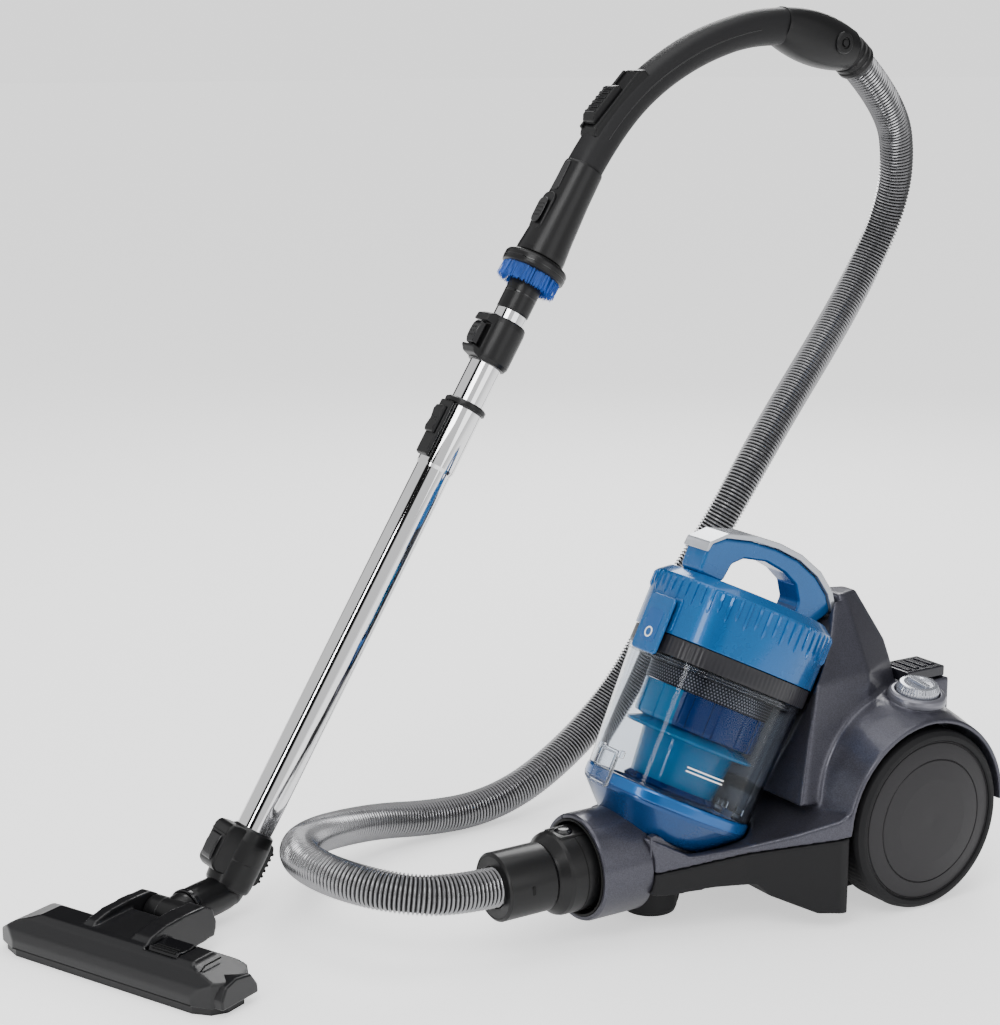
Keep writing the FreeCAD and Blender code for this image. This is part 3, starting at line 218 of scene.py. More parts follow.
MAT = {
    "housing": mat("housing", (0.060, 0.060, 0.078), 0.34, 0.6, 0.35, 0.12, bump=0.05, flake=0.25),
    "chassis": mat("chassis", (0.007, 0.007, 0.008), 0.5, bump=0.35, scale=1500, spec=0.3),
    "collar": mat("collar", (0.006, 0.006, 0.007), 0.3, bump=0.05, spec=0.35),
    "liner": mat("liner", (0.003, 0.003, 0.003), 0.45, bump=0.1, spec=0.25),
    "wheel": mat("wheel", (0.026, 0.025, 0.027), 0.46, 0.2, bump=0.2, scale=2500, spec=0.35),
    "tyre": mat("tyre", (0.007, 0.007, 0.008), 0.6, bump=0.4, scale=900, spec=0.3),
    "knob": mat("knob", (0.50, 0.52, 0.57), 0.2, 0.75, 0.5, 0.05, bump=0.02),
    "knob_ring": mat("knob_ring", (0.20, 0.20, 0.23), 0.3, 0.6, 0.2),
    "pedal": mat("pedal", (0.012, 0.012, 0.018), 0.22, 0.3, 0.5, 0.08, bump=0.03),
    "bin": mat("bin", (0.86, 0.90, 0.95), 0.03, trans=1.0, ior=1.2, var=0.01, rvar=0.02),
    "clear": mat("clear", (0.93, 0.95, 0.98), 0.06, trans=1.0, ior=1.4, var=0.01, rvar=0.03),
    "smoke": mat("smoke", (0.10, 0.12, 0.16), 0.08, trans=0.75, ior=1.2, var=0.05),
    "line": mat("line", (0.9, 0.92, 0.94), 0.4, var=0.02),
    "blue": mat("blue", (0.001, 0.100, 0.31), 0.27, 0.35, 0.5, 0.07, bump=0.03, flake=0.12),
    "base_blue": mat("base_blue", (0.001, 0.048, 0.175), 0.25, 0.45, 0.5, 0.06, bump=0.03, flake=0.15),
    "rim_blue": mat("rim_blue", (0.004, 0.095, 0.32), 0.25, 0.4, 0.5, 0.06, bump=0.02),
    "cyan": mat("cyan", (0.010, 0.27, 0.55), 0.12, trans=0.5, ior=1.25, coat=0.3, var=0.08),
    "deep": mat("deep", (0.006, 0.035, 0.15), 0.2, trans=0.3, ior=1.3, var=0.1),
    "mesh": mat("mesh", (0.010, 0.011, 0.015), 0.45, 0.2, var=0.1, spec=0.35),
    "band": mat("band", (0.016, 0.016, 0.020), 0.35, trans=0.1, coat=0.3, var=0.1, spec=0.3),
    "silver": mat("silver", (0.50, 0.52, 0.56), 0.2, 0.55, 0.5, 0.08, var=0.03),
    "black": mat("black", (0.006, 0.006, 0.0065), 0.34, bump=0.12, scale=1800, coat=0.05, spec=0.35),
    "black_gloss": mat("black_gloss", (0.005, 0.005, 0.006), 0.18, coat=0.3, bump=0.02, spec=0.4),
    "grip": mat("grip", (0.008, 0.008, 0.009), 0.48, bump=0.5, scale=2600, spec=0.35),
    "chrome": mat("chrome", (0.92, 0.92, 0.93), 0.05, 1.0, bump=0.0, var=0.02, rvar=0.02),
    "hose": mat("hose", (0.30, 0.30, 0.31), 0.22, 0.8, 0.3, 0.1, bump=0.05, var=0.12),
    # near-black for the hose's rib valleys: painted shade between the ribs
    "hose_valley_painted_shade": mat("hose_valley_painted_shade", (0.012, 0.012, 0.012), 0.5, spec=0.25),
    "bristle": mat("bristle", (0.003, 0.10, 0.50), 0.45, var=0.25),
    "bristle_dark": mat("bristle_dark", (0.02, 0.02, 0.02), 0.6, var=0.3),
    "head": mat("head", (0.007, 0.007, 0.008), 0.30, bump=0.08, scale=1800, coat=0.2, coat_rough=0.14, spec=0.4),
    "steel": mat("steel", (0.6, 0.6, 0.62), 0.3, 1.0, aniso=0.4),
    "filter": mat("filter", (0.7, 0.7, 0.68), 0.9, bump=0.8, scale=400, var=0.1),
    "cooper": mat("motor_body", (0.45, 0.45, 0.46), 0.4, 0.9, bump=0.2),
    "dark": mat("dark", (0.02, 0.02, 0.022), 0.5, bump=0.2),
}

# ---------------------------------------------------------------- mesh helpers


def finish_mesh(me, angle=32):
    bm = bmesh.new()
    bm.from_mesh(me)
    bmesh.ops.recalc_face_normals(bm, faces=bm.faces)
    for e in bm.edges:
        if len(e.link_faces) == 2:
            e.smooth = e.calc_face_angle(0.0) < math.radians(angle)
    for f in bm.faces:
        f.smooth = True
    bm.to_mesh(me)
    bm.free()


def add(name, verts, faces, material, body, m=WORLD, angle=32, reps=(), bevel=0.0, seg=3, sub=0):
    me = bpy.data.meshes.new(name)
    w = (tf(m, verts) + SHIFT) / 1000.0
    me.from_pydata(w.tolist(), [], faces)
    me.update()
    o = bpy.data.objects.new(name, me)
    SC.collection.objects.link(o)
    me.materials.append(MAT[material])
    finish_mesh(me, angle)
    if bevel:
        bv = o.modifiers.new("edge", "BEVEL")
        bv.width = bevel / 1000.0
        bv.segments = seg
        bv.limit_method = "ANGLE"
        bv.angle_limit = math.radians(28)
        bv.harden_normals = True
    if sub:
        sb = o.modifiers.new("smooth", "SUBSURF")
        sb.levels = sub
        sb.render_levels = sub
    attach(o, body)
    if reps:
        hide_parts(*reps)
    return o


def fillet(prof, radii, closed=True, n=5):
    """Rounds the corners of a 2-D outline."""
    out = []
    N = len(prof)
    for i in range(N):
        p = np.array(prof[i], float)
        r = radii[i] if isinstance(radii, (list, tuple)) else radii
        if r <= 0 or (not closed and i in (0, N - 1)):
            out.append(tuple(p))
            continue
        a = np.array(prof[(i - 1) % N], float) - p
        b = np.array(prof[(i + 1) % N], float) - p
        la, lb = np.linalg.norm(a), np.linalg.norm(b)
        a /= la
        b /= lb
        cosv = max(-1, min(1, float(a @ b)))
        half = math.acos(cosv) / 2
        if half > math.radians(88.5):
            out.append(tuple(p))
            continue
        t = min(r / math.tan(half), 0.48 * la, 0.48 * lb)
        p0, p1 = p + a * t, p + b * t
        for k in range(n + 1):
            u = k / n
            q = (1 - u) ** 2 * p0 + 2 * u * (1 - u) * p + u ** 2 * p1
            out.append(tuple(q))
    return out


def lathe(name, prof, material, body, m, seg=128, r=0.8, closed=True, reps=(), angle=40, a0=0.0, a1=360.0, wob=None):
    pts = fillet(prof, r, closed)
    full = abs(a1 - a0) >= 359.9
    vs, fs = [], []
    na = seg if full else seg + 1
    for i in range(na):
        t = math.radians(a0 + (a1 - a0) * i / seg)
        for (q, z) in pts:
            rr = q if wob is None else wob(q, z, t)
            vs.append((rr * math.cos(t), rr * math.sin(t), z))
    P = len(pts)
    for i in range(seg if full else seg):
        j = (i + 1) % na
        if not full and i == na - 1:
            break
        for k in range(P if closed else P - 1):
            l = (k + 1) % P
            fs.append((i * P + k, j * P + k, j * P + l, i * P + l))
    if not full and closed:
        fs.append(tuple(range(P)))
        fs.append(tuple(reversed(range((na - 1) * P, na * P))))
    o = add(name, vs, fs, material, body, m, angle, reps)
    bm = bmesh.new()
    bm.from_mesh(o.data)
    bmesh.ops.remove_doubles(bm, verts=bm.verts, dist=1e-6)
    bm.to_mesh(o.data)
    bm.free()
    finish_mesh(o.data, angle)
    return o


def block(name, lo, hi, material, body, m=WORLD, bevel=1.0, seg=3, reps=(), taper=0.0):
    x0, y0, z0 = lo
    x1, y1, z1 = hi
    tx, ty = taper * (x1 - x0) / 2, taper * (y1 - y0) / 2
    vs = [(x0, y0, z0), (x1, y0, z0), (x1, y1, z0), (x0, y1, z0), (x0 + tx, y0 + ty, z1), (x1 - tx, y0 + ty, z1), (x1 - tx, y1 - ty, z1), (x0 + tx, y1 - ty, z1)]
    fs = [(0, 3, 2, 1), (4, 5, 6, 7), (0, 1, 5, 4), (1, 2, 6, 5), (2, 3, 7, 6), (3, 0, 4, 7)]
    return add(name, vs, fs, material, body, m, 30, reps, bevel, seg)


def slab(name, outline, x0, x1, material, body, m=WORLD, plane="YZ", bevel=1.0, seg=3, reps=(), r=0.0):
    """Outline in a plane, pushed from x0 to x1 along the remaining axis."""
    pts = fillet(outline, r) if r else list(outline)
    n = len(pts)

    def P(a, b, x):
        return {"YZ": (x, a, b), "XY": (a, b, x), "XZ": (a, x, b)}[plane]
    vs = [P(a, b, x0) for a, b in pts] + [P(a, b, x1) for a, b in pts]
    fs = [tuple(reversed(range(n))), tuple(range(n, 2 * n))] + [(i, (i + 1) % n, n + (i + 1) % n, n + i) for i in range(n)]
    return add(name, vs, fs, material, body, m, 30, reps, bevel, seg)


def smoothpath(points, n=200):
    """Points read from a NURBS spline through control points (working mm)."""
    cu = bpy.data.curves.new("guide", "CURVE")
    cu.dimensions = "3D"
    sp = cu.splines.new("NURBS")
    sp.points.add(len(points) - 1)
    for q, p in zip(sp.points, points):
        q.co = (p[0] / 1000, p[1] / 1000, p[2] / 1000, 1)
    sp.order_u = 3
    sp.use_endpoint_u = True
    sp.resolution_u = 24
    ob = bpy.data.objects.new("guide", cu)
    SC.collection.objects.link(ob)
    bpy.context.view_layer.update()
    dg = bpy.context.evaluated_depsgraph_get()
    me = bpy.data.meshes.new_from_object(ob.evaluated_get(dg))
    P = np.array([v.co[:] for v in me.vertices]) * 1000
    bpy.data.objects.remove(ob)
    bpy.data.meshes.remove(me)
    d = np.r_[0, np.cumsum(np.linalg.norm(np.diff(P, axis=0), axis=1))]
    t = np.linspace(0, d[-1], n)
    return np.array([np.interp(t, d, P[:, k]) for k in range(3)]).T, d[-1]


def frames(P, up0=None):
    Tn = np.gradient(P, axis=0)
    Tn /= np.linalg.norm(Tn, axis=1)[:, None]
    up = np.array(up0 if up0 is not None else (1.0, 0, 0), float)
    U, Vv = [], []
    for i in range(len(P)):
        up = up - Tn[i] * (up @ Tn[i])
        up /= np.linalg.norm(up)
        U.append(up.copy())
        Vv.append(np.cross(Tn[i], up))
    return Tn, np.array(U), np.array(Vv)


def sweep(name, P, section, material, body, up0=None, caps=True, reps=(), angle=40):
    """section(i, n) gives [(u, v)] offsets in the path's frame at step i."""
    Tn, U, Vv = frames(P, up0)
    n = len(P)
    vs, fs = [], []
    for i in range(n):
        ring = section(i, n)
        for (a, b) in ring:
            vs.append(P[i] + U[i] * a + Vv[i] * b)
    K = len(section(0, n))
    for i in range(n - 1):
        for k in range(K):
            l = (k + 1) % K
            fs.append((i * K + k, i * K + l, (i + 1) * K + l, (i + 1) * K + k))
    if caps:
        fs.append(tuple(reversed(range(K))))
        fs.append(tuple(range((n - 1) * K, n * K)))
    return add(name, vs, fs, material, body, WORLD, angle, reps)


def soften(node, material, voxel=1.3, it=6, body=None, name=None, keep=0.6, reps=()):
    """A moulded copy of a CAD node with rounded edges."""
    src = NODES[node]
    me = src.data.copy()
    o = bpy.data.objects.new(name or ("moulded_" + node), me)
    SC.collection.objects.link(o)
    me.materials.clear()
    me.materials.append(MAT[material])
    bm = bmesh.new()
    bm.from_mesh(me)
    bmesh.ops.remove_doubles(bm, verts=bm.verts, dist=1e-6)
    bm.to_mesh(me)
    bm.free()
    rm = o.modifiers.new("remesh", "REMESH")
    rm.mode = "VOXEL"
    rm.voxel_size = voxel / 1000.0
    rm.adaptivity = 0.0
    sm = o.modifiers.new("round", "SMOOTH")
    sm.factor = keep
    sm.iterations = it
    bpy.context.view_layer.update()
    dg = bpy.context.evaluated_depsgraph_get()
    new = bpy.data.meshes.new_from_object(o.evaluated_get(dg))
    o.modifiers.clear()
    o.data = new
    for p in new.polygons:
        p.use_smooth = True
    if not new.materials:
        new.materials.append(MAT[material])
    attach(o, body or src["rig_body"])
    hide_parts(node, *reps)
    return o


def paint(node, material):
    o = NODES[node]
    o.data.materials.clear()
    o.data.materials.append(MAT[material])
    return o


def wire(name, pts, rad, material, body, m=WORLD, n=10, closed=False, smooth=False):
    """Thin round bead along points."""
    P = tf(m, pts)
    if closed:
        P = np.vstack([P, P[:1]])
    d = np.r_[0, np.cumsum(np.linalg.norm(np.diff(P, axis=0), axis=1))]
    k = max(8, int(d[-1] / 2.0))
    t = np.linspace(0, d[-1], k)
    Q = np.array([np.interp(t, d, P[:, j]) for j in range(3)]).T
    up = (0.3, 0.5, 0.8)
    return sweep(name, Q, lambda i, nn: [(rad * math.cos(2 * math.pi * a / n), rad * math.sin(2 * math.pi * a / n)) for a in range(n)], material, body, up0=up, angle=70)


# ---------------------------------------------------------------- hose (first of the pieces)
HP, HLEN_MM = smoothpath(HOSE, 4)
pitch = 3.7
ribs = int(HLEN_MM / pitch)
STEPS = ribs * 6
HP, HLEN_MM = smoothpath(HOSE, STEPS + 1)


def rib_section(i, n):
    ph = (i % 6) / 6.0
    r = 15.3 + 2.7 * (0.5 + 0.5 * math.cos(2 * math.pi * ph)) ** 0.8
    return [(r * math.cos(2 * math.pi * a / 40), r * math.sin(2 * math.pi * a / 40)) for a in range(40)]


hose = sweep("corrugated_hose", HP, rib_section, "hose", "canister", up0=(0, 0, 1), angle=80, reps=("hose_tube",))
# the rib valleys (steps 2 and 3 of every rib) get the near-black material: painted shade in the creases between ribs
hose.data.materials.append(MAT["hose_valley_painted_shade"])
for _f in hose.data.polygons:
    if len(_f.vertices) == 4:
        _st = (_f.index // 40) % 6
        if _st in (2, 3):
            _f.material_index = 1
PATH = [tuple(M(p)) for p in smoothpath(HOSE, 400)[0]]

# ---------------------------------------------------------------- canister shell
soften("upper_housing", "housing", 1.5, 16)
soften("lower_chassis", "chassis", 1.6, 4)
for n_, m_ in (("motor", "cooper"), ("impeller", "dark"), ("exhaust_filter", "filter"), ("cord_reel", "dark"), ("cord_outlet", "dark"), ("wheel_axles", "steel"), ("chassis_screws", "steel"),
               ("exhaust_grille", "chassis"), ("caster_wheel", "wheel"), ("flap_hinge_pin", "steel"), ("sole_plate", "head"), ("pre_motor_filter", "filter"), ("caster_fork", "chassis")):
    paint(n_, m_)

# inlet collar: lacquered outer ring with a black inner ring and seams
lathe("collar_outer", [(44.6, -312), (48, -312), (49, -309.5), (49, -284), (49, -259), (44.6, -259)], "housing", "canister", INLET, 160, 1.0, a0=-62, a1=242)
lathe("collar_lower", [(44.6, -311.4), (47.6, -311.4), (48.6, -309), (48.6, -259), (44.6, -259)], "housing", "canister", INLET, 80, 0.8, a0=242.6, a1=297.4)
lathe("collar_inner", [(40, -263), (44.5, -263), (44.5, -312.4), (43.4, -313), (42.2, -312.4), (41.2, -309), (40, -306)], "liner", "canister", INLET, 160, 0.5, reps=("inlet_collar",))
lathe("collar_back", [(24, -263), (44, -263), (47, -258.5), (24, -258.5)], "liner", "canister", INLET, 120, 0.5)
# wing panels beside the collar
for sg in (1, -1):
    slab("wing_" + ("left" if sg > 0 else "right"), [(-262, 66), (-236, 66), (-214, 74), (-256, 99), (-262, 98)], sg * 40.0, sg * 47.0, "housing", "canister", bevel=1.2)

# ---------------------------------------------------------------- wheels
for side, ax in (("left", AXL), ("right", AXR)):
    lathe("wheel_face_" + side, [(6.06, 86), (20, 86), (20, 119), (70, 117), (70, 90), (76, 90), (76, 123.8), (75.2, 124.6), (74.6, 123.2), (73.8, 124.6), (66, 126.2), (59.6, 127.2), (59.0, 125.8), (58.0, 127.4), (40, 129.2), (20, 129.9), (0.01, 130), (0.01, 125.5), (6.06, 125.5)],
          "wheel", "wheel_" + side, ax, 192, 0.45, reps=("wheel_disc_" + side,), angle=35)

    def tread(q, z, t):
        if q > 84.5 and 90 < z < 117:
            return q - 0.45 * (0.5 + 0.5 * math.cos(t * 90))
        return q
    lathe("tyre_ring_" + side, [(76.1, 86), (82, 84), (85, 85), (86, 88), (86, 92), (85.7, 95), (86, 99), (86, 109), (85.7, 113), (86, 118), (84.8, 123), (81, 126.2), (77.5, 126.4), (76.1, 125)], "tyre", "wheel_" + side, ax, 360, 0.8, reps=("wheel_tyre_" + side,), wob=tread)

# ---------------------------------------------------------------- controls


def knobwob(q, z, t):
    if q > 17.6 and 2.5 < z < 15:
        return q - 0.7 * (0.5 + 0.5 * math.cos(t * 44))
    return q


lathe("power_dial", [(0.01, -17), (5, -17), (5, 0.6), (19.8, 0.6), (20, 3), (20, 10.5), (17.6, 15.0), (14, 15.4), (13, 14.2), (0.01, 13.8)], "knob", "knob", KNOB, 264, 0.4, reps=("power_knob",), wob=knobwob, angle=50)
slab("power_dial_bar", [(-12, -3.2), (12, -3.2), (12.6, 0), (12, 3.2), (-12, 3.2), (-12.6, 0)], 13.9, 17.0, "knob", "knob", KNOB, "XY", 0.8)
lathe("power_bezel", [(21.2, -1), (21.2, 6.3), (22.2, 7.2), (24.2, 6.8), (26.4, 5.6), (27.4, 3), (27.4, -1)], "knob_ring", "canister", KNOB, 160, 0.6)
soften("rewind_pedal", "pedal", 0.9, 3)
for i in range(4):
    slab("pedal_facet_%d" % i, [(18 + i * 1.4, 36 + i * 11), (51 - i * 1.4, 36 + i * 11), (50 - i * 1.4, 42 + i * 11), (19 + i * 1.4, 42 + i * 11)], 204.4, 206.2, "pedal", "pedal", WORLD, "XY", 0.6)

# ---------------------------------------------------------------- dust cup
# clear wall, its thick foot ring and its shoulder
lathe("bin_wall", [(75.8, 41.4), (78, 41.4), (79.2, 66), (83.4, 156), (84.0, 157), (84.2, 163.6), (80.6, 163.6), (80.9, 157), (76.9, 66)], "bin", "dust_cup", CUP, 192, 0.4, reps=("dust_bin",))
for h_, r_ in ((151.5, 83.5), (154.2, 83.7)):
    lathe("bin_bead_%d" % int(h_), [(r_ - 0.4, h_ - 0.7), (r_ + 0.5, h_ - 0.5), (r_ + 0.5, h_ + 0.5), (r_ - 0.4, h_ + 0.7)], "clear", "dust_cup", CUP, 160, 0.2)
for sx in (1, -1):
    block("hinge_ear_" + ("a" if sx > 0 else "b"), (9 * sx if sx > 0 else -20, 77.4, 41.4), (20 if sx > 0 else -9, 85.5, 52), "clear", "dust_cup", CUP, 1.0)
    block("latch_ear_" + ("a" if sx > 0 else "b"), (13.6 if sx > 0 else -17, -84, 55.5), (17 if sx > 0 else -13.6, -78, 62.5), "clear", "dust_cup", CUP, 0.8)
# base dish with a lighter bevelled rim
lathe("base_dish", [(0.01, 0), (49, 0), (53, 2), (62, 11.2), (77, 26.5), (78.4, 29), (78.4, 31), (73.5, 31), (50, 6), (0.01, 4)], "base_blue", "cup_flap", CUP, 192, 0.8, reps=("bottom_flap",))
lathe("base_rim", [(73.6, 31), (78.8, 30.6), (79, 32.5), (79, 38.4), (78.2, 40.4), (76.4, 41), (73.6, 41)], "rim_blue", "cup_flap", CUP, 192, 0.7)
block("flap_ear", (-8.6, 78.2, 35), (8.6, 85.3, 46.5), "base_blue", "cup_flap", CUP, 1.4)
# inner works: tall blue tube, ribs, skirt, mesh
lathe("cyclone_body", [(38, 48), (40, 48), (43, 76), (46, 106), (46, 112), (44, 112), (41, 78)], "cyan", "dust_cup", CUP, 128, 0.6, reps=("cyclone_tube",))
lathe("cyclone_foot", [(26, 43), (44, 43), (45, 45), (41, 49), (30, 52), (26, 52)], "deep", "dust_cup", CUP, 128, 0.8)
lathe("skirt", [(46.2, 96.5), (60, 90), (61.4, 91), (61.4, 93), (47.2, 99.6), (47.2, 112), (46.2, 112)], "cyan", "dust_cup", CUP, 160, 0.6, reps=("shroud_skirt",))
lathe("shroud_body", [(44, 112.3), (46.5, 112.3), (46.5, 158), (44, 158)], "mesh", "dust_cup", CUP, 160, 0.5, reps=("mesh_shroud",))
vs, fs = [], []
for ri in range(14):
    for ai in range(110):
        t = 2 * math.pi * (ai + 0.5 * (ri % 2)) / 110
        zc = 116 + ri * 2.9
        ct, st = math.cos(t), math.sin(t)
        k = len(vs)
        for j in range(6):
            u = 2 * math.pi * j / 6
            da, dz = 0.75 * math.cos(u), 0.75 * math.sin(u)
            vs.append((46.62 * ct - st * da, 46.62 * st + ct * da, zc + dz))
        fs.append(tuple(range(k, k + 6)))
add("shroud_holes", vs, fs, "knob_ring", "dust_cup", CUP)
lathe("outlet_plate", [(17, 118), (19.5, 118), (19.5, 158.3), (81, 158.3), (81, 164.3), (83.3, 164.3), (83.3, 168), (17, 168)], "smoke", "dust_cup", CUP, 160, 0.6, reps=("separator_plate",))


def drumwob(q, z, t):
    if q > 50 and 100 < z < 152:
        return q - 1.6 * (1 if math.cos(t * 14 + 0.6) > 0.55 else 0)
    return q


# one ribbed drum drawn in two sectors: the sector from -150 to -62 degrees in light cyan as painted light, the rest in
# deep blue as painted shade
lathe("cone_drum_painted_lit_sector", [(49, 99), (57, 101), (58, 104), (58.6, 133), (55, 133), (49, 102)], "cyan", "dust_cup", CUP, 160, 0.5, a0=-150, a1=-62, wob=drumwob)
lathe("cone_drum_painted_shade_sector", [(49, 99), (57, 101), (58, 104), (58.6, 133), (55, 133), (49, 102)], "deep", "dust_cup", CUP, 240, 0.5, a0=-62, a1=210, wob=drumwob)
lathe("cone_collar_mesh", [(56, 133.4), (59.2, 133.4), (60, 150), (56, 150)], "mesh", "dust_cup", CUP, 160, 0.4)
vs, fs = [], []
for ri in range(6):
    for ai in range(120):
        t = 2 * math.pi * (ai + 0.5 * (ri % 2)) / 120
        zc = 135.4 + ri * 2.6
        ct, st = math.cos(t), math.sin(t)
        k = len(vs)
        rr = 59.35 + (zc - 133.4) * 0.048
        for j in range(6):
            u = 2 * math.pi * j / 6
            da, dz = 0.8 * math.cos(u), 0.8 * math.sin(u)
            vs.append((rr * ct - st * da, rr * st + ct * da, zc + dz))
        fs.append(tuple(range(k, k + 6)))
add("collar_mesh_holes", vs, fs, "knob_ring", "dust_cup", CUP)
lathe("inner_drum", [(40, 150), (72, 150), (74, 152), (74, 158), (40, 158)], "mesh", "dust_cup", CUP, 128, 0.8)
# level lines, drawn on the wall
for h_ in (67.5, 71.0):
    lathe("level_line_%d" % int(h_), [(79.7 + (h_ - 66) * 0.045, h_), (79.9 + (h_ - 66) * 0.045, h_), (79.95 + (h_ - 66) * 0.045, h_ + 1.3), (79.75 + (h_ - 66) * 0.045, h_ + 1.3)], "line", "dust_cup", CUP, 60, 0.0, a0=-36, a1=-10)
# gasket band with vertical flutes


def bandwob(q, z, t):
    if q > 84.6:
        return q - 0.35 * (0.5 + 0.5 * math.cos(t * 120))
    return q


lathe("band", [(83.6, 157.2), (85.3, 157.2), (85.6, 160), (85.6, 165), (85.4, 174.4), (83.6, 174.4)], "band", "dust_cup", CUP, 480, 0.3, reps=("bin_gasket",), wob=bandwob)
# lid: lacquered ring, chamfer, shallow top and ribs of uneven length
lathe("lid_body", [(83.5, 175.2), (86.5, 175.2), (86.5, 226), (85.6, 228.2), (76.6, 235.4), (74.6, 236), (70, 236), (68.5, 235.2), (0.01, 235.2), (0.01, 232.5), (73.5, 232.5), (83.5, 225)], "blue", "dust_cup", CUP, 240, 0.8, reps=("lid_shell",))
random.seed(7)
vs, fs = [], []
NR = 60
for i in range(NR):
    t = 2 * math.pi * i / NR
    lo = 211.0 - 12.0 * (0.5 + 0.5 * math.cos(t - 0.2)) + (4.5 if i % 2 else 0.0)
    w0 = 1.15
    ct, st = math.cos(t), math.sin(t)
    k = len(vs)
    for (q, z, w) in ((86.3, lo, 0.2), (88.0, lo + 4, w0), (88.0, 224.6, w0), (86.3, 227.4, w0)):
        for sgn in (-1, 1):
            vs.append((q * ct - st * w * sgn, q * st + ct * w * sgn, z))
            vs.append((86.2 * ct - st * w * 1.5 * sgn, 86.2 * st + ct * w * 1.5 * sgn, z))
    for j in range(3):
        a = k + 4 * j
        b_ = a + 4
        fs += [(a, b_, b_ + 2, a + 2), (a + 1, a, b_, b_ + 1)[::-1], (a + 2, b_ + 2, b_ + 3, a + 3)]
add("lid_ribs", vs, fs, "blue", "dust_cup", CUP, 50)
# handle arch and its bright top strip
ARCH = [(-76, 235.5), (-77, 258), (-73, 266), (-62, 274), (-30, 282), (0, 285), (30, 284), (58, 277), (78, 266), (91.5, 252.5), (85, 244), (77, 235.5), (50, 235.5), (49, 249), (38, 262), (20, 268), (-6, 270), (-32, 264), (-43, 255), (-46, 235.5)]
slab("handle_arch", ARCH, -15, 15, "blue", "dust_cup", CUP, "YZ", 3.2, 5, ("carry_handle",), r=7)
TRIM = [(-80, 256), (-79, 265), (-62, 279), (-30, 288), (0, 291), (30, 290), (60, 283), (82, 271), (97, 255), (92.3, 252.3), (78, 266.3), (58, 277.3), (30, 284.3), (0, 285.3), (-30, 282.3), (-62, 274.3), (-75, 264.5), (-77, 256)]
slab("handle_strip", TRIM, -17, 17, "silver", "dust_cup", CUP, "YZ", 2.2, 4, ("handle_trim",), r=3)
slab("handle_seam", [(-46.6, 240), (-46.6, 254), (-44, 257.5), (-33, 266), (-6, 272), (20, 270), (39, 264), (50.6, 250), (50.6, 240), (49.4, 240), (49.4, 250), (38, 262.6), (20, 268.6), (-6, 270.6), (-32, 264.8), (-43.4, 256), (-45.4, 253), (-45.4, 240)], -13.4, 13.4, "base_blue", "dust_cup", CUP, "YZ", 0.3, 2)
# release button with a blank round icon recess
slab("cup_button_pad", [(-17.9, 152), (17.9, 152), (17.9, 205.6), (-17.9, 205.6)], -92.5, -88.8, "blue", "cup_button", CUP, "XZ", 2.2, 5, ("lid_button",), r=5)
slab("cup_button_inlay", [(-10.5, 162), (10.5, 162), (10.5, 192), (-10.5, 192)], -92.9, -92.3, "rim_blue", "cup_button", CUP, "XZ", 0.3, 2, r=4)
lathe("cup_button_ring", [(3.6, 0), (5.0, 0), (5.0, 0.7), (3.6, 0.7)], "line", "cup_button", CUP @ T((0, -92.7, 170), (1, 0, 0), (0, 0, 1), (0, -1, 0)), 48, 0.2)
slab("cup_button_frame", [(-20.2, 177), (20.2, 177), (20.2, 208.4), (-20.2, 208.4)], -86.2, -82.5, "blue", "dust_cup", CUP, "XZ", 1.0, 3, r=4)
# clear latch lever
slab("latch_lever", [(-13, 25.5), (13, 25.5), (13, 61.2), (-13, 61.2)], -83.6, -80.2, "clear", "cup_latch", CUP, "XZ", 1.2, 4, ("flap_latch",), r=4)
wire("latch_rim", [(-11, -84, 28), (11, -84, 28), (11, -84, 58), (-11, -84, 58)], 0.9, "clear", "cup_latch", CUP, closed=True)

# ---------------------------------------------------------------- cuff and connector
lathe("cuff_sleeve", [(18.9, -398.6), (29, -399), (31, -397.4), (31, -350.6), (29.4, -348.2), (16, -348.2), (16, -386.7), (18.9, -386.7)], "black", "cuff", INLET, 144, 0.8, reps=("hose_cuff",))
lathe("cuff_mouth", [(18.8, -396.0), (28.2, -399.2), (28.6, -398.8), (19.2, -395)], "liner", "cuff", INLET, 120, 0.1)
slab("cuff_slot", [(-377, 62.5), (-373.5, 62.5), (-373.5, 71), (-377, 71)], 30.4, 31.25, "liner", "cuff", WORLD, "YZ", 0.3, 2, r=1.5)
lathe("connector_body", [(16, -348), (29.5, -348), (31.5, -346), (37, -339.5), (38, -336), (38, -292), (35, -288), (23, -288), (23, -262.6), (21, -262.6), (16, -300)], "black", "canister", INLET, 144, 1.0, reps=("cuff_connector",))
lathe("connector_seam", [(37.4, -322.4), (38.25, -322.4), (38.25, -321.4), (37.4, -321.4)], "liner", "canister", INLET, 120, 0.1, a0=-70, a1=60)
for i in range(4):
    a = math.radians(-3)
    block("connector_slot_%d" % i, (37.4, -316 + i * 3.4, 65 - 3.0), (38.3, -314.6 + i * 3.4, 65 + 3.0), "liner", "canister", WORLD, 0.2)
lathe("connector_button", [(0.01, 7.4), (5, 7.0), (8.4, 5.2), (9.0, 3.2), (9.0, 0), (0.01, 0)], "black_gloss", "cuff_lock", T((0, -325, 97.6), (1, 0, 0), (0, 1, 0), (0, 0, 1)), 72, 0.8, reps=("cuff_button",))
block("button_housing_l", (-13.5, -337, 93), (-9.5, -305, 102), "black", "canister", WORLD, 1.6, 4)
block("button_housing_r", (9.5, -337, 93), (13.5, -305, 102), "black", "canister", WORLD, 1.6, 4)

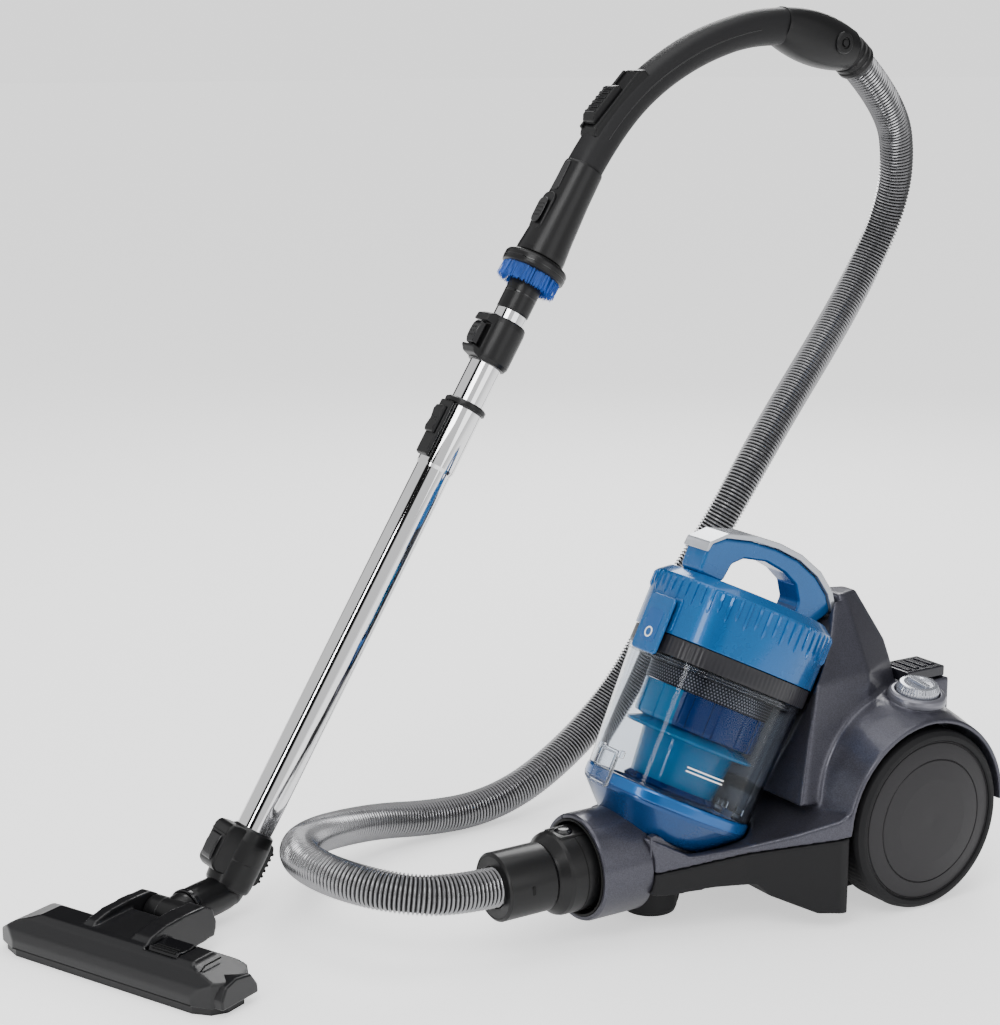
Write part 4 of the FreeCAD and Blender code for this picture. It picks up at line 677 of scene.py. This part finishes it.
# ---------------------------------------------------------------- wand
lathe("tube_outer", [(16.3, 62), (17.3, 62), (17.3, 436), (18.6, 439.5), (18.6, 500), (16.3, 500)], "chrome", "wand", WAND, 160, 0.25, reps=("outer_tube",))
lathe("tube_inner", [(14.6, 104), (15.8, 104), (15.8, 604), (14.6, 604)], "chrome", "canister", WAND, 144, 0.2, reps=("inner_tube",))
lathe("ring_collar", [(16.15, 500.1), (18.6, 500.1), (20.8, 501.5), (20.8, 505.4), (18.5, 507), (16.15, 507)], "black", "wand", WAND, 120, 0.5, reps=("tube_ring",))
slab("lock_saddle_body", [(18.4, 443), (22.6, 445), (22.6, 500), (18.4, 501.5)], -9, 9, "black", "wand", T(ELB, WS * -1, WT, WD), "YZ", 1.4, 4)
slab("lock_thumb", [(22.8, 465), (26.0, 466.2), (27.2, 470), (25.6, 479), (27.2, 488), (26.0, 492.6), (22.8, 494)], -7, 7, "black", "wand_lock", T(ELB, WS * -1, WT, WD), "YZ", 0.9, 3, ("lock_slider",))
for i in range(4):
    for j in range(3):
        lathe("lock_dot_%d_%d" % (i, j), [(0.01, 1.0), (0.7, 0.8), (1.0, 0.0), (0.01, 0)], "black_gloss", "wand_lock", WAND @ T((25.4, -3 + 3 * j, 474 + 3.2 * i), (0, 0, 1), (0, 1, 0), (1, 0, 0)), 12, 0.1)
lathe("latch_ring", [(15.82, 548), (18.4, 548), (20.4, 552), (20.6, 556), (20.6, 588), (19.8, 592.5), (18.6, 594), (15.82, 594)], "black", "canister", WAND, 120, 0.8, reps=("tube_latch",))
slab("latch_dome", [(15, 548.5), (25, 550.5), (29.2, 555), (29.6, 557.2), (21.1, 557.2), (21.1, 582.6), (29.6, 582.8), (28.4, 590), (22, 593.5), (15, 594)], -10, 10, "black", "canister", T(ELB, WS * -1, WT, WD), "YZ", 1.4, 4)
slab("tube_press", [(23.5, 558), (29, 558.4), (31.2, 563), (31.6, 570), (31.0, 577), (29, 581.6), (23.5, 582)], -6, 6, "black_gloss", "tube_release", T(ELB, WS * -1, WT, WD), "YZ", 1.6, 4, ("tube_button",))
for i in range(3):
    for j in range(2):
        lathe("press_dot_%d_%d" % (i, j), [(0.01, 1.0), (0.8, 0.8), (1.1, 0.0), (0.01, 0)], "black", "tube_release", WAND @ T((31.0, -2 + 4 * j, 565.5 + 4.2 * i), (0, 0, 1), (0, 1, 0), (1, 0, 0)), 12, 0.1)
lathe("spigot_body", [(13.2, 604.4), (15.6, 604.4), (16.3, 605.6), (16.3, 699.7), (13.2, 699.7)], "black", "canister", WAND, 120, 0.4, reps=("wand_spigot",))
lathe("spigot_seam", [(15.8, 622), (16.45, 622), (16.45, 624), (15.8, 624)], "black_gloss", "canister", WAND, 96, 0.3)
lathe("brush_hoop", [(16.65, 647), (29, 647), (31.6, 648.4), (32, 650), (32, 657.4), (30.6, 659.6), (27, 661.5), (16.65, 661.5)], "black", "dusting_brush", WAND, 144, 0.9, reps=("brush_ring",))
lathe("brush_groove", [(31.4, 652.6), (32.25, 652.6), (32.25, 653.8), (31.4, 653.8)], "black_gloss", "dusting_brush", WAND, 120, 0.2)
random.seed(11)
vs, fs = [], []
for i in range(1100):
    t = random.uniform(0, 2 * math.pi)
    r0 = random.uniform(20.5, 29.5)
    r1 = r0 + random.uniform(-1.2, 1.4)
    z1 = 633 + random.uniform(-1.0, 1.6)
    w = 0.28
    k = len(vs)
    for (r, z, ww) in ((r0, 647.2, w), (r1, z1, w * 0.6)):
        for j in range(4):
            u = math.pi / 2 * j
            vs.append((r * math.cos(t) + ww * math.cos(u), r * math.sin(t) + ww * math.sin(u), z))
    for j in range(4):
        l = (j + 1) % 4
        fs.append((k + j, k + l, k + 4 + l, k + 4 + j))
    fs.append((k + 4, k + 5, k + 6, k + 7))
add("dusting_bristles", vs, fs, "bristle", "dusting_brush", WAND, 60, ("brush_bristles",))

# ---------------------------------------------------------------- handle
lathe("sleeve_body", [(17.4, 662), (23.4, 662), (24.5, 663.4), (24.5, 668), (22.5, 690), (20.3, 730), (19.6, 761), (19, 763), (0.01, 763), (0.01, 706), (17.4, 700)], "black", "canister", WAND, 144, 0.9, reps=("handle_sleeve",))
WSD = T(ELB, WS * -1, WT, WD)
slab("button_frame", [(-9.2, 683), (9.2, 683), (9.2, 725), (-9.2, 725)], 19.2, 22.5, "black", "canister", WSD, "XZ", 1.6, 4, r=8)
slab("brush_push", [(-6.8, 690.6), (6.8, 690.6), (6.8, 717), (-6.8, 717)], 24.2, 25.6, "black_gloss", "brush_release", T(ELB, WS * -1, WT, WD), "XZ", 0.8, 3, ("brush_button",), r=6.5)
for i in range(4):
    block("push_rib_%d" % i, (-4.4, 25.0, 697 + 4 * i), (4.4, 25.9, 698.6 + 4 * i), "black", "brush_release", T(ELB, WS * -1, WT, WD), 0.3)
slab("sleeve_panel", [(-5.2, 728), (5.2, 728), (4.6, 760), (-4.6, 760)], 19.0, 20.9, "black_gloss", "canister", T(ELB, WS * -1, WT, WD), "XZ", 0.6, 3, r=3)

GR = [along(758.0), along(772.0), wp(437, 711), wp(465, 738), wp(500, 762.5), wp(545, 785), wp(596, 800.5), wp(640, 806), wp(664, 805)]
GPt, _ = smoothpath(GR, 120)


def gsec(i, n):
    u = i / (n - 1.0)
    a = 17.4 - 0.8 * math.sin(math.pi * min(1, u * 1.4)) ** 2 + 2.0 * max(0, u - 0.75) * 4
    b = 17.2 - 0.8 * math.sin(math.pi * min(1, u * 1.2)) ** 2 + 2.4 * max(0, u - 0.8) * 4
    out = []
    for k in range(64):
        t = 2 * math.pi * k / 64
        ct, st = math.cos(t), math.sin(t)
        e = 2.35
        out.append((a * math.copysign(abs(ct) ** (2 / e), ct), b * math.copysign(abs(st) ** (2 / e), st)))
    return out


sweep("grip_body", GPt, gsec, "grip", "canister", up0=WT, angle=60, reps=("grip_shell",))
# inset line along each side of the grip
Tg, Ug, Vg = frames(GPt, WT)
for sg, nm in ((1, "a"), (-1, "b")):
    L = [GPt[i] + Vg[i] * (gsec(i, 120)[16][1] * sg * 0.985) + Ug[i] * (3.5 - 5 * (i / 119.0)) for i in range(14, 100)]
    wire("grip_line_" + nm, L, 0.75, "black_gloss", "canister")


def on_slid(name, outline, y0, y1, material, body, bevel, seg=4, reps=(), r=0.0):
    pts = fillet(outline, r) if r else outline
    n = len(pts)
    vs = [(a, y0, b) for a, b in pts] + [(a, y1, b) for a, b in pts]
    fs = [tuple(range(n)), tuple(reversed(range(n, 2 * n)))] + [(i, n + i, n + (i + 1) % n, (i + 1) % n) for i in range(n)]
    return add(name, vs, fs, material, body, SLID, 30, reps, bevel, seg)


on_slid("slider_house", [(-43, 5), (43, 5), (43, 16), (39, 18.6), (-37, 18.6), (-43, 15)], -13, 13, "black", "canister", 2.2)
on_slid("slider_rail_a", [(-38, 17.5), (38, 17.5), (37, 21), (-37, 21)], -13, -9.6, "black", "canister", 0.9)
on_slid("slider_rail_b", [(-38, 17.5), (38, 17.5), (37, 21), (-37, 21)], 9.6, 13, "black", "canister", 0.9)
on_slid("slider_block", [(-33, 18.8), (13, 18.8), (13, 25), (9, 28.4), (-28, 28.4), (-33, 24)], -9, 9, "black", "air_slider", 1.3, 4, ("suction_slider",))
for i in range(6):
    on_slid("slider_rib_%d" % i, [(-26 + 6 * i, 28.0), (-22.6 + 6 * i, 28.0), (-23.2 + 6 * i, 29.7), (-25.4 + 6 * i, 29.7)], -7.4, 7.4, "black_gloss", "air_slider", 0.4, 3)

# swivel housing: fat rounded barrel, round screw boss on its side
HC = [HB - HDIR * 2, HB + HDIR * 20, HB + HDIR * 48, HE - HDIR * 14, HE]
HPt, _ = smoothpath(HC, 70)


def hsec(i, n):
    u = i / (n - 1.0)
    a = 19.5 + 6.8 * math.sin(math.pi * min(1, max(0, u * 1.02))) ** 0.8 + 2.6 * u
    b = 20.5 + 4.5 * math.sin(math.pi * min(1, u)) ** 0.9 + 1.2 * u
    return [(a * math.cos(2 * math.pi * k / 72), b * math.sin(2 * math.pi * k / 72)) for k in range(72)]


sweep("swivel_body", HPt, hsec, "black", "canister", up0=UZ, angle=60, reps=("swivel_housing",))
for sg, nm in ((-1, "near"), (1, "far")):
    bm_ = T(wp(716, 789) - WN * 29.0 * (1 if sg < 0 else -1), WH, np.cross(WN * sg, WH), WN * sg)
    lathe("boss_" + nm, [(0.01, 0.6), (3.4, 0.6), (3.8, -1.6), (5.6, -1.6), (6.0, 0.4), (9.6, 0.0), (11.2, -1.4), (11.6, -9), (0.01, -9)], "black", "canister", bm_, 72, 0.4)
lathe("collar_rings", [(0.01, -23.2), (19, -23.2), (20.6, -22), (20.8, -18.4), (19.3, -17.2), (19.3, -15.6), (21, -14.4), (21, -11.0), (19.4, -9.8), (19.4, -8.4), (21, -7.2), (21, -3.4), (19.6, -0.3), (0.01, -0.3)], "black", "hose_end", COLL, 128, 0.6, reps=("hose_collar",))

# ---------------------------------------------------------------- lower cuff and neck
lathe("cuff_lower_body", [(12, 4), (20.4, 4), (21.6, 6.5), (22.2, 12), (22.2, 30), (22.0, 31), (22.2, 32), (21.8, 50), (20.4, 60), (17.6, 61.8), (12, 61.8)], "black", "wand", WAND, 144, 0.7, reps=("lower_cuff",))
slab("latch_house_body", [(14, 14), (27, 14.2), (33, 18), (34, 22), (34, 54), (31, 59), (22, 60), (14, 60)], -14, 14, "black", "wand", WSD, "YZ", 2.6, 4)
slab("latch_push", [(27.5, 21), (35, 21.4), (36.6, 26), (37.2, 36), (36.0, 44), (34, 47), (27.5, 47)], -9, 9, "black_gloss", "wand_release", WSD, "YZ", 1.6, 4, ("cuff_latch",))
slab("latch_split", [(33.4, 48.4), (34.35, 48.4), (34.35, 49.4), (33.4, 49.4)], -13, 13, "liner", "wand", WSD, "YZ", 0.1, 2)
slab("cuff_rail_body", [(-20, 12), (-26, 14), (-28, 17), (-28, 50), (-26, 54), (-20, 56)], -5, 5, "black", "wand", WSD, "YZ", 1.6, 4)
for i in range(6):
    slab("rail_rib_%d" % i, [(-27.4, 18 + 5.5 * i), (-29.0, 18.8 + 5.5 * i), (-29.0, 20.6 + 5.5 * i), (-27.4, 21.4 + 5.5 * i)], -5.6, 5.6, "black", "wand", WSD, "YZ", 0.5, 3)
NK = [H0 + HN * 103.2 + UZ * 26, H0 + HN * 126 + UZ * 26, H0 + HN * 142 + UZ * 25.5, ELB + WD * 0 + HN * 0, ELB + WD * 8, ELB + WD * 14]
NPt, _ = smoothpath(NK, 60)


def nsec(i, n):
    r = 16.4 + 1.1 * min(1, i / 8.0) + (0.8 if i > n - 14 else 0)
    return [(r * math.cos(2 * math.pi * k / 72), r * math.sin(2 * math.pi * k / 72)) for k in range(72)]


sweep("neck_bend", NPt, nsec, "black", "wand", up0=UZ, angle=60, reps=("neck_tube",))
NECK = T(H0 + UZ * 26, UZ, np.cross(HN, UZ), HN)
lathe("neck_ring", [(14, 103.0), (17.6, 103.0), (18.6, 103.9), (18.6, 107.4), (17.6, 108.4), (14, 108.4)], "black_gloss", "wand", NECK, 96, 0.5)
lathe("neck_swivel", [(0.01, 84), (14, 84), (15.6, 90), (16.6, 98), (16.6, 101.6), (16.0, 102.7), (0.01, 102.7)], "black", "neck", NECK, 96, 0.6, reps=("neck_barrel",))
BAR = HEAD @ T((0, 86, 26), (0, 0, -1), (0, 1, 0), (1, 0, 0))
lathe("barrel_drum", [(0.01, -22), (14.4, -22), (15.5, -20.8), (15.5, -8), (15.2, -7.4), (15.5, -6.8), (15.5, 20.8), (14.4, 22), (0.01, 22)], "black", "neck", BAR, 120, 0.5)
soften("head_shell", "head", 1.1, 6)
# seam lines, an end cap, rocker pedal and bristle strip of the head
slab("head_cap_right", [(-22, 7.5), (24, 7.5), (23, 16), (15, 27.5), (-4, 30.5), (-17, 27), (-23, 16)], 112.0, 133.2, "head", "head", HEADB, "YZ", 2.2, 4)
slab("head_cap_seam", [(-29.4, 8), (-28.4, 20), (-22, 31), (-10, 37.4), (10, 37.4), (10, 36.4), (-10, 36.4), (-21, 30), (-27.4, 19), (-28.4, 8)], 103.5, 104.6, "liner", "head", HEADB, "YZ", 0.1, 2)
slab("head_seam", [(-104, -30.3), (104, -30.3), (104, -29.4), (-104, -29.4)], 8.0, 8.9, "liner", "head", HEADB, "XY", 0.1, 2)
slab("rocker_top", [(-13.5, 26), (13.5, 26), (13.5, 31), (10.5, 35), (4, 33.6), (-4, 33.4), (-10.5, 35), (-13.5, 31)], 39.2, 72.8, "black_gloss", "rocker", HEADB @ T((0, 3.5, 4), (1, 0, 0), (0, 1, 0), (0, 0, 1)), "YZ", 1.2, 4, ("rocker_pedal",))
for i in range(3):
    slab("rocker_rib_%d" % i, [(-12.5 + 3 * i, 33.2), (-10.9 + 3 * i, 33.2), (-10.9 + 3 * i, 35.3), (-12.5 + 3 * i, 35.3)], 43, 69, "black", "rocker", HEADB @ T((0, 3.5, 4), (1, 0, 0), (0, 1, 0), (0, 0, 1)), "YZ", 0.5, 3)
random.seed(5)
vs, fs = [], []
for i in range(900):
    x = random.uniform(-104.5, 104.5)
    y = random.uniform(-20.6, -13.4)
    k = len(vs)
    for (z, w) in ((12, 0.4), (5.8 + random.uniform(0, 0.6), 0.25)):
        for a, b in ((-w, -w), (w, -w), (w, w), (-w, w)):
            vs.append((x + a, y + b, z))
    for j in range(4):
        l = (j + 1) % 4
        fs.append((k + j, k + l, k + 4 + l, k + 4 + j))
    fs.append((k + 4, k + 5, k + 6, k + 7))
add("strip_bristles", vs, fs, "bristle_dark", "strip", HEADB, 60)
block("strip_bar", (-105, -21, 10), (105, -13, 13.7), "black", "strip", HEADB, 0.6, reps=("brush_strip",))

# ---------------------------------------------------------------- stage and light
SC.world = bpy.data.worlds.new("studio") if not SC.world else SC.world
SC.world.use_nodes = True
wn = SC.world.node_tree
wn.nodes.clear()
w_out = wn.nodes.new("ShaderNodeOutputWorld")
bg = wn.nodes.new("ShaderNodeBackground")
w_tc = wn.nodes.new("ShaderNodeTexCoord")


def w_dot(vec):
    d = wn.nodes.new("ShaderNodeVectorMath")
    d.operation = "DOT_PRODUCT"
    wn.links.new(w_tc.outputs["Generated"], d.inputs[0])
    d.inputs[1].default_value = vec
    return d.outputs["Value"]


def w_math(op, a, b=None):
    n = wn.nodes.new("ShaderNodeMath")
    n.operation = op
    for k, v in ((0, a), (1, b)):
        if v is None:
            continue
        if isinstance(v, (int, float)):
            n.inputs[k].default_value = v
        else:
            wn.links.new(v, n.inputs[k])
    return n.outputs[0]


# studio cards around the object: seen only in reflections
ang = w_math("ARCTAN2", w_dot((0.534, 0.845, 0.0)), w_dot((0.845, -0.534, 0.0)))
turn = w_math("ADD", w_math("DIVIDE", ang, 2 * math.pi), 0.5)
cards = wn.nodes.new("ShaderNodeValToRGB")
el = cards.color_ramp.elements
el[0].position, el[0].color = 0.0, (0.02, 0.02, 0.02, 1)
el[1].position, el[1].color = 1.0, (0.10, 0.10, 0.10, 1)
for pos, v in ((0.10, 0.02), (0.115, 1.0), (0.335, 1.0), (0.35, 0.01), (0.458, 0.01), (0.47, 1.0), (0.735, 0.95), (0.76, 0.22), (0.95, 0.18)):
    e = el.new(pos)
    e.color = (v, v, v, 1)
wn.links.new(turn, cards.inputs[0])
lp = wn.nodes.new("ShaderNodeLightPath")
mixw = wn.nodes.new("ShaderNodeMix")
mixw.data_type = "RGBA"
wn.links.new(lp.outputs["Is Glossy Ray"], mixw.inputs[0])
mixw.inputs[6].default_value = (1, 1, 1, 1)
wn.links.new(cards.outputs[0], mixw.inputs[7])
wn.links.new(mixw.outputs[2], bg.inputs[0])
mixs = wn.nodes.new("ShaderNodeMix")
mixs.data_type = "FLOAT"
wn.links.new(lp.outputs["Is Camera Ray"], mixs.inputs[0])
mixs.inputs[2].default_value = 0.78
mixs.inputs[3].default_value = 1.5
wn.links.new(mixs.outputs[0], bg.inputs[1])
wn.links.new(bg.outputs[0], w_out.inputs[0])
fl = bpy.data.meshes.new("floor")
S_ = 40.0
fl.from_pydata([(-S_, -S_, 0), (S_, -S_, 0), (S_, S_, 0), (-S_, S_, 0)], [], [(0, 1, 2, 3)])
floor = bpy.data.objects.new("floor", fl)
SC.collection.objects.link(floor)
fm = bpy.data.materials.new("floor")
fm.use_nodes = True
fb = fm.node_tree.nodes["Principled BSDF"]
fb.inputs["Base Color"].default_value = (0.93, 0.93, 0.93, 1)
fb.inputs["Roughness"].default_value = 0.75
fb.inputs["Specular IOR Level"].default_value = 0.1
fb.inputs["Emission Color"].default_value = (1, 1, 1, 1)
fb.inputs["Emission Strength"].default_value = 0.22
f_lp = fm.node_tree.nodes.new("ShaderNodeLightPath")
f_mr = fm.node_tree.nodes.new("ShaderNodeMapRange")
f_mr.inputs["To Min"].default_value = 0.22
f_mr.inputs["To Max"].default_value = 0.85
fm.node_tree.links.new(f_lp.outputs["Is Camera Ray"], f_mr.inputs["Value"])
fm.node_tree.links.new(f_mr.outputs["Result"], fb.inputs["Emission Strength"])
fl.materials.append(fm)


def area(name, loc, target, size, power, col=(1, 1, 1), sy=None):
    d = bpy.data.lights.new(name, "AREA")
    d.energy = power
    d.color = col
    d.shape = "RECTANGLE"
    d.size = size
    d.size_y = sy or size
    o = bpy.data.objects.new(name, d)
    o.location = loc
    o.rotation_euler = (Vector(target) - Vector(loc)).to_track_quat("-Z", "Y").to_euler()
    SC.collection.objects.link(o)
    return o


area("key", (1.2, -1.4, 2.4), (0, 0, 0.2), 1.2, 30)
area("fill", (2.4, 0.6, 1.2), (0, 0, 0.3), 1.4, 10)
area("top", (-0.3, 0.2, 2.6), (0, 0, 0), 2.0, 26)
area("rim", (-1.6, 1.4, 1.6), (0, 0, 0.3), 1.0, 22)
area("strip", (0.6, -2.2, 0.9), (0, 0, 0.35), 0.25, 12, sy=1.6)
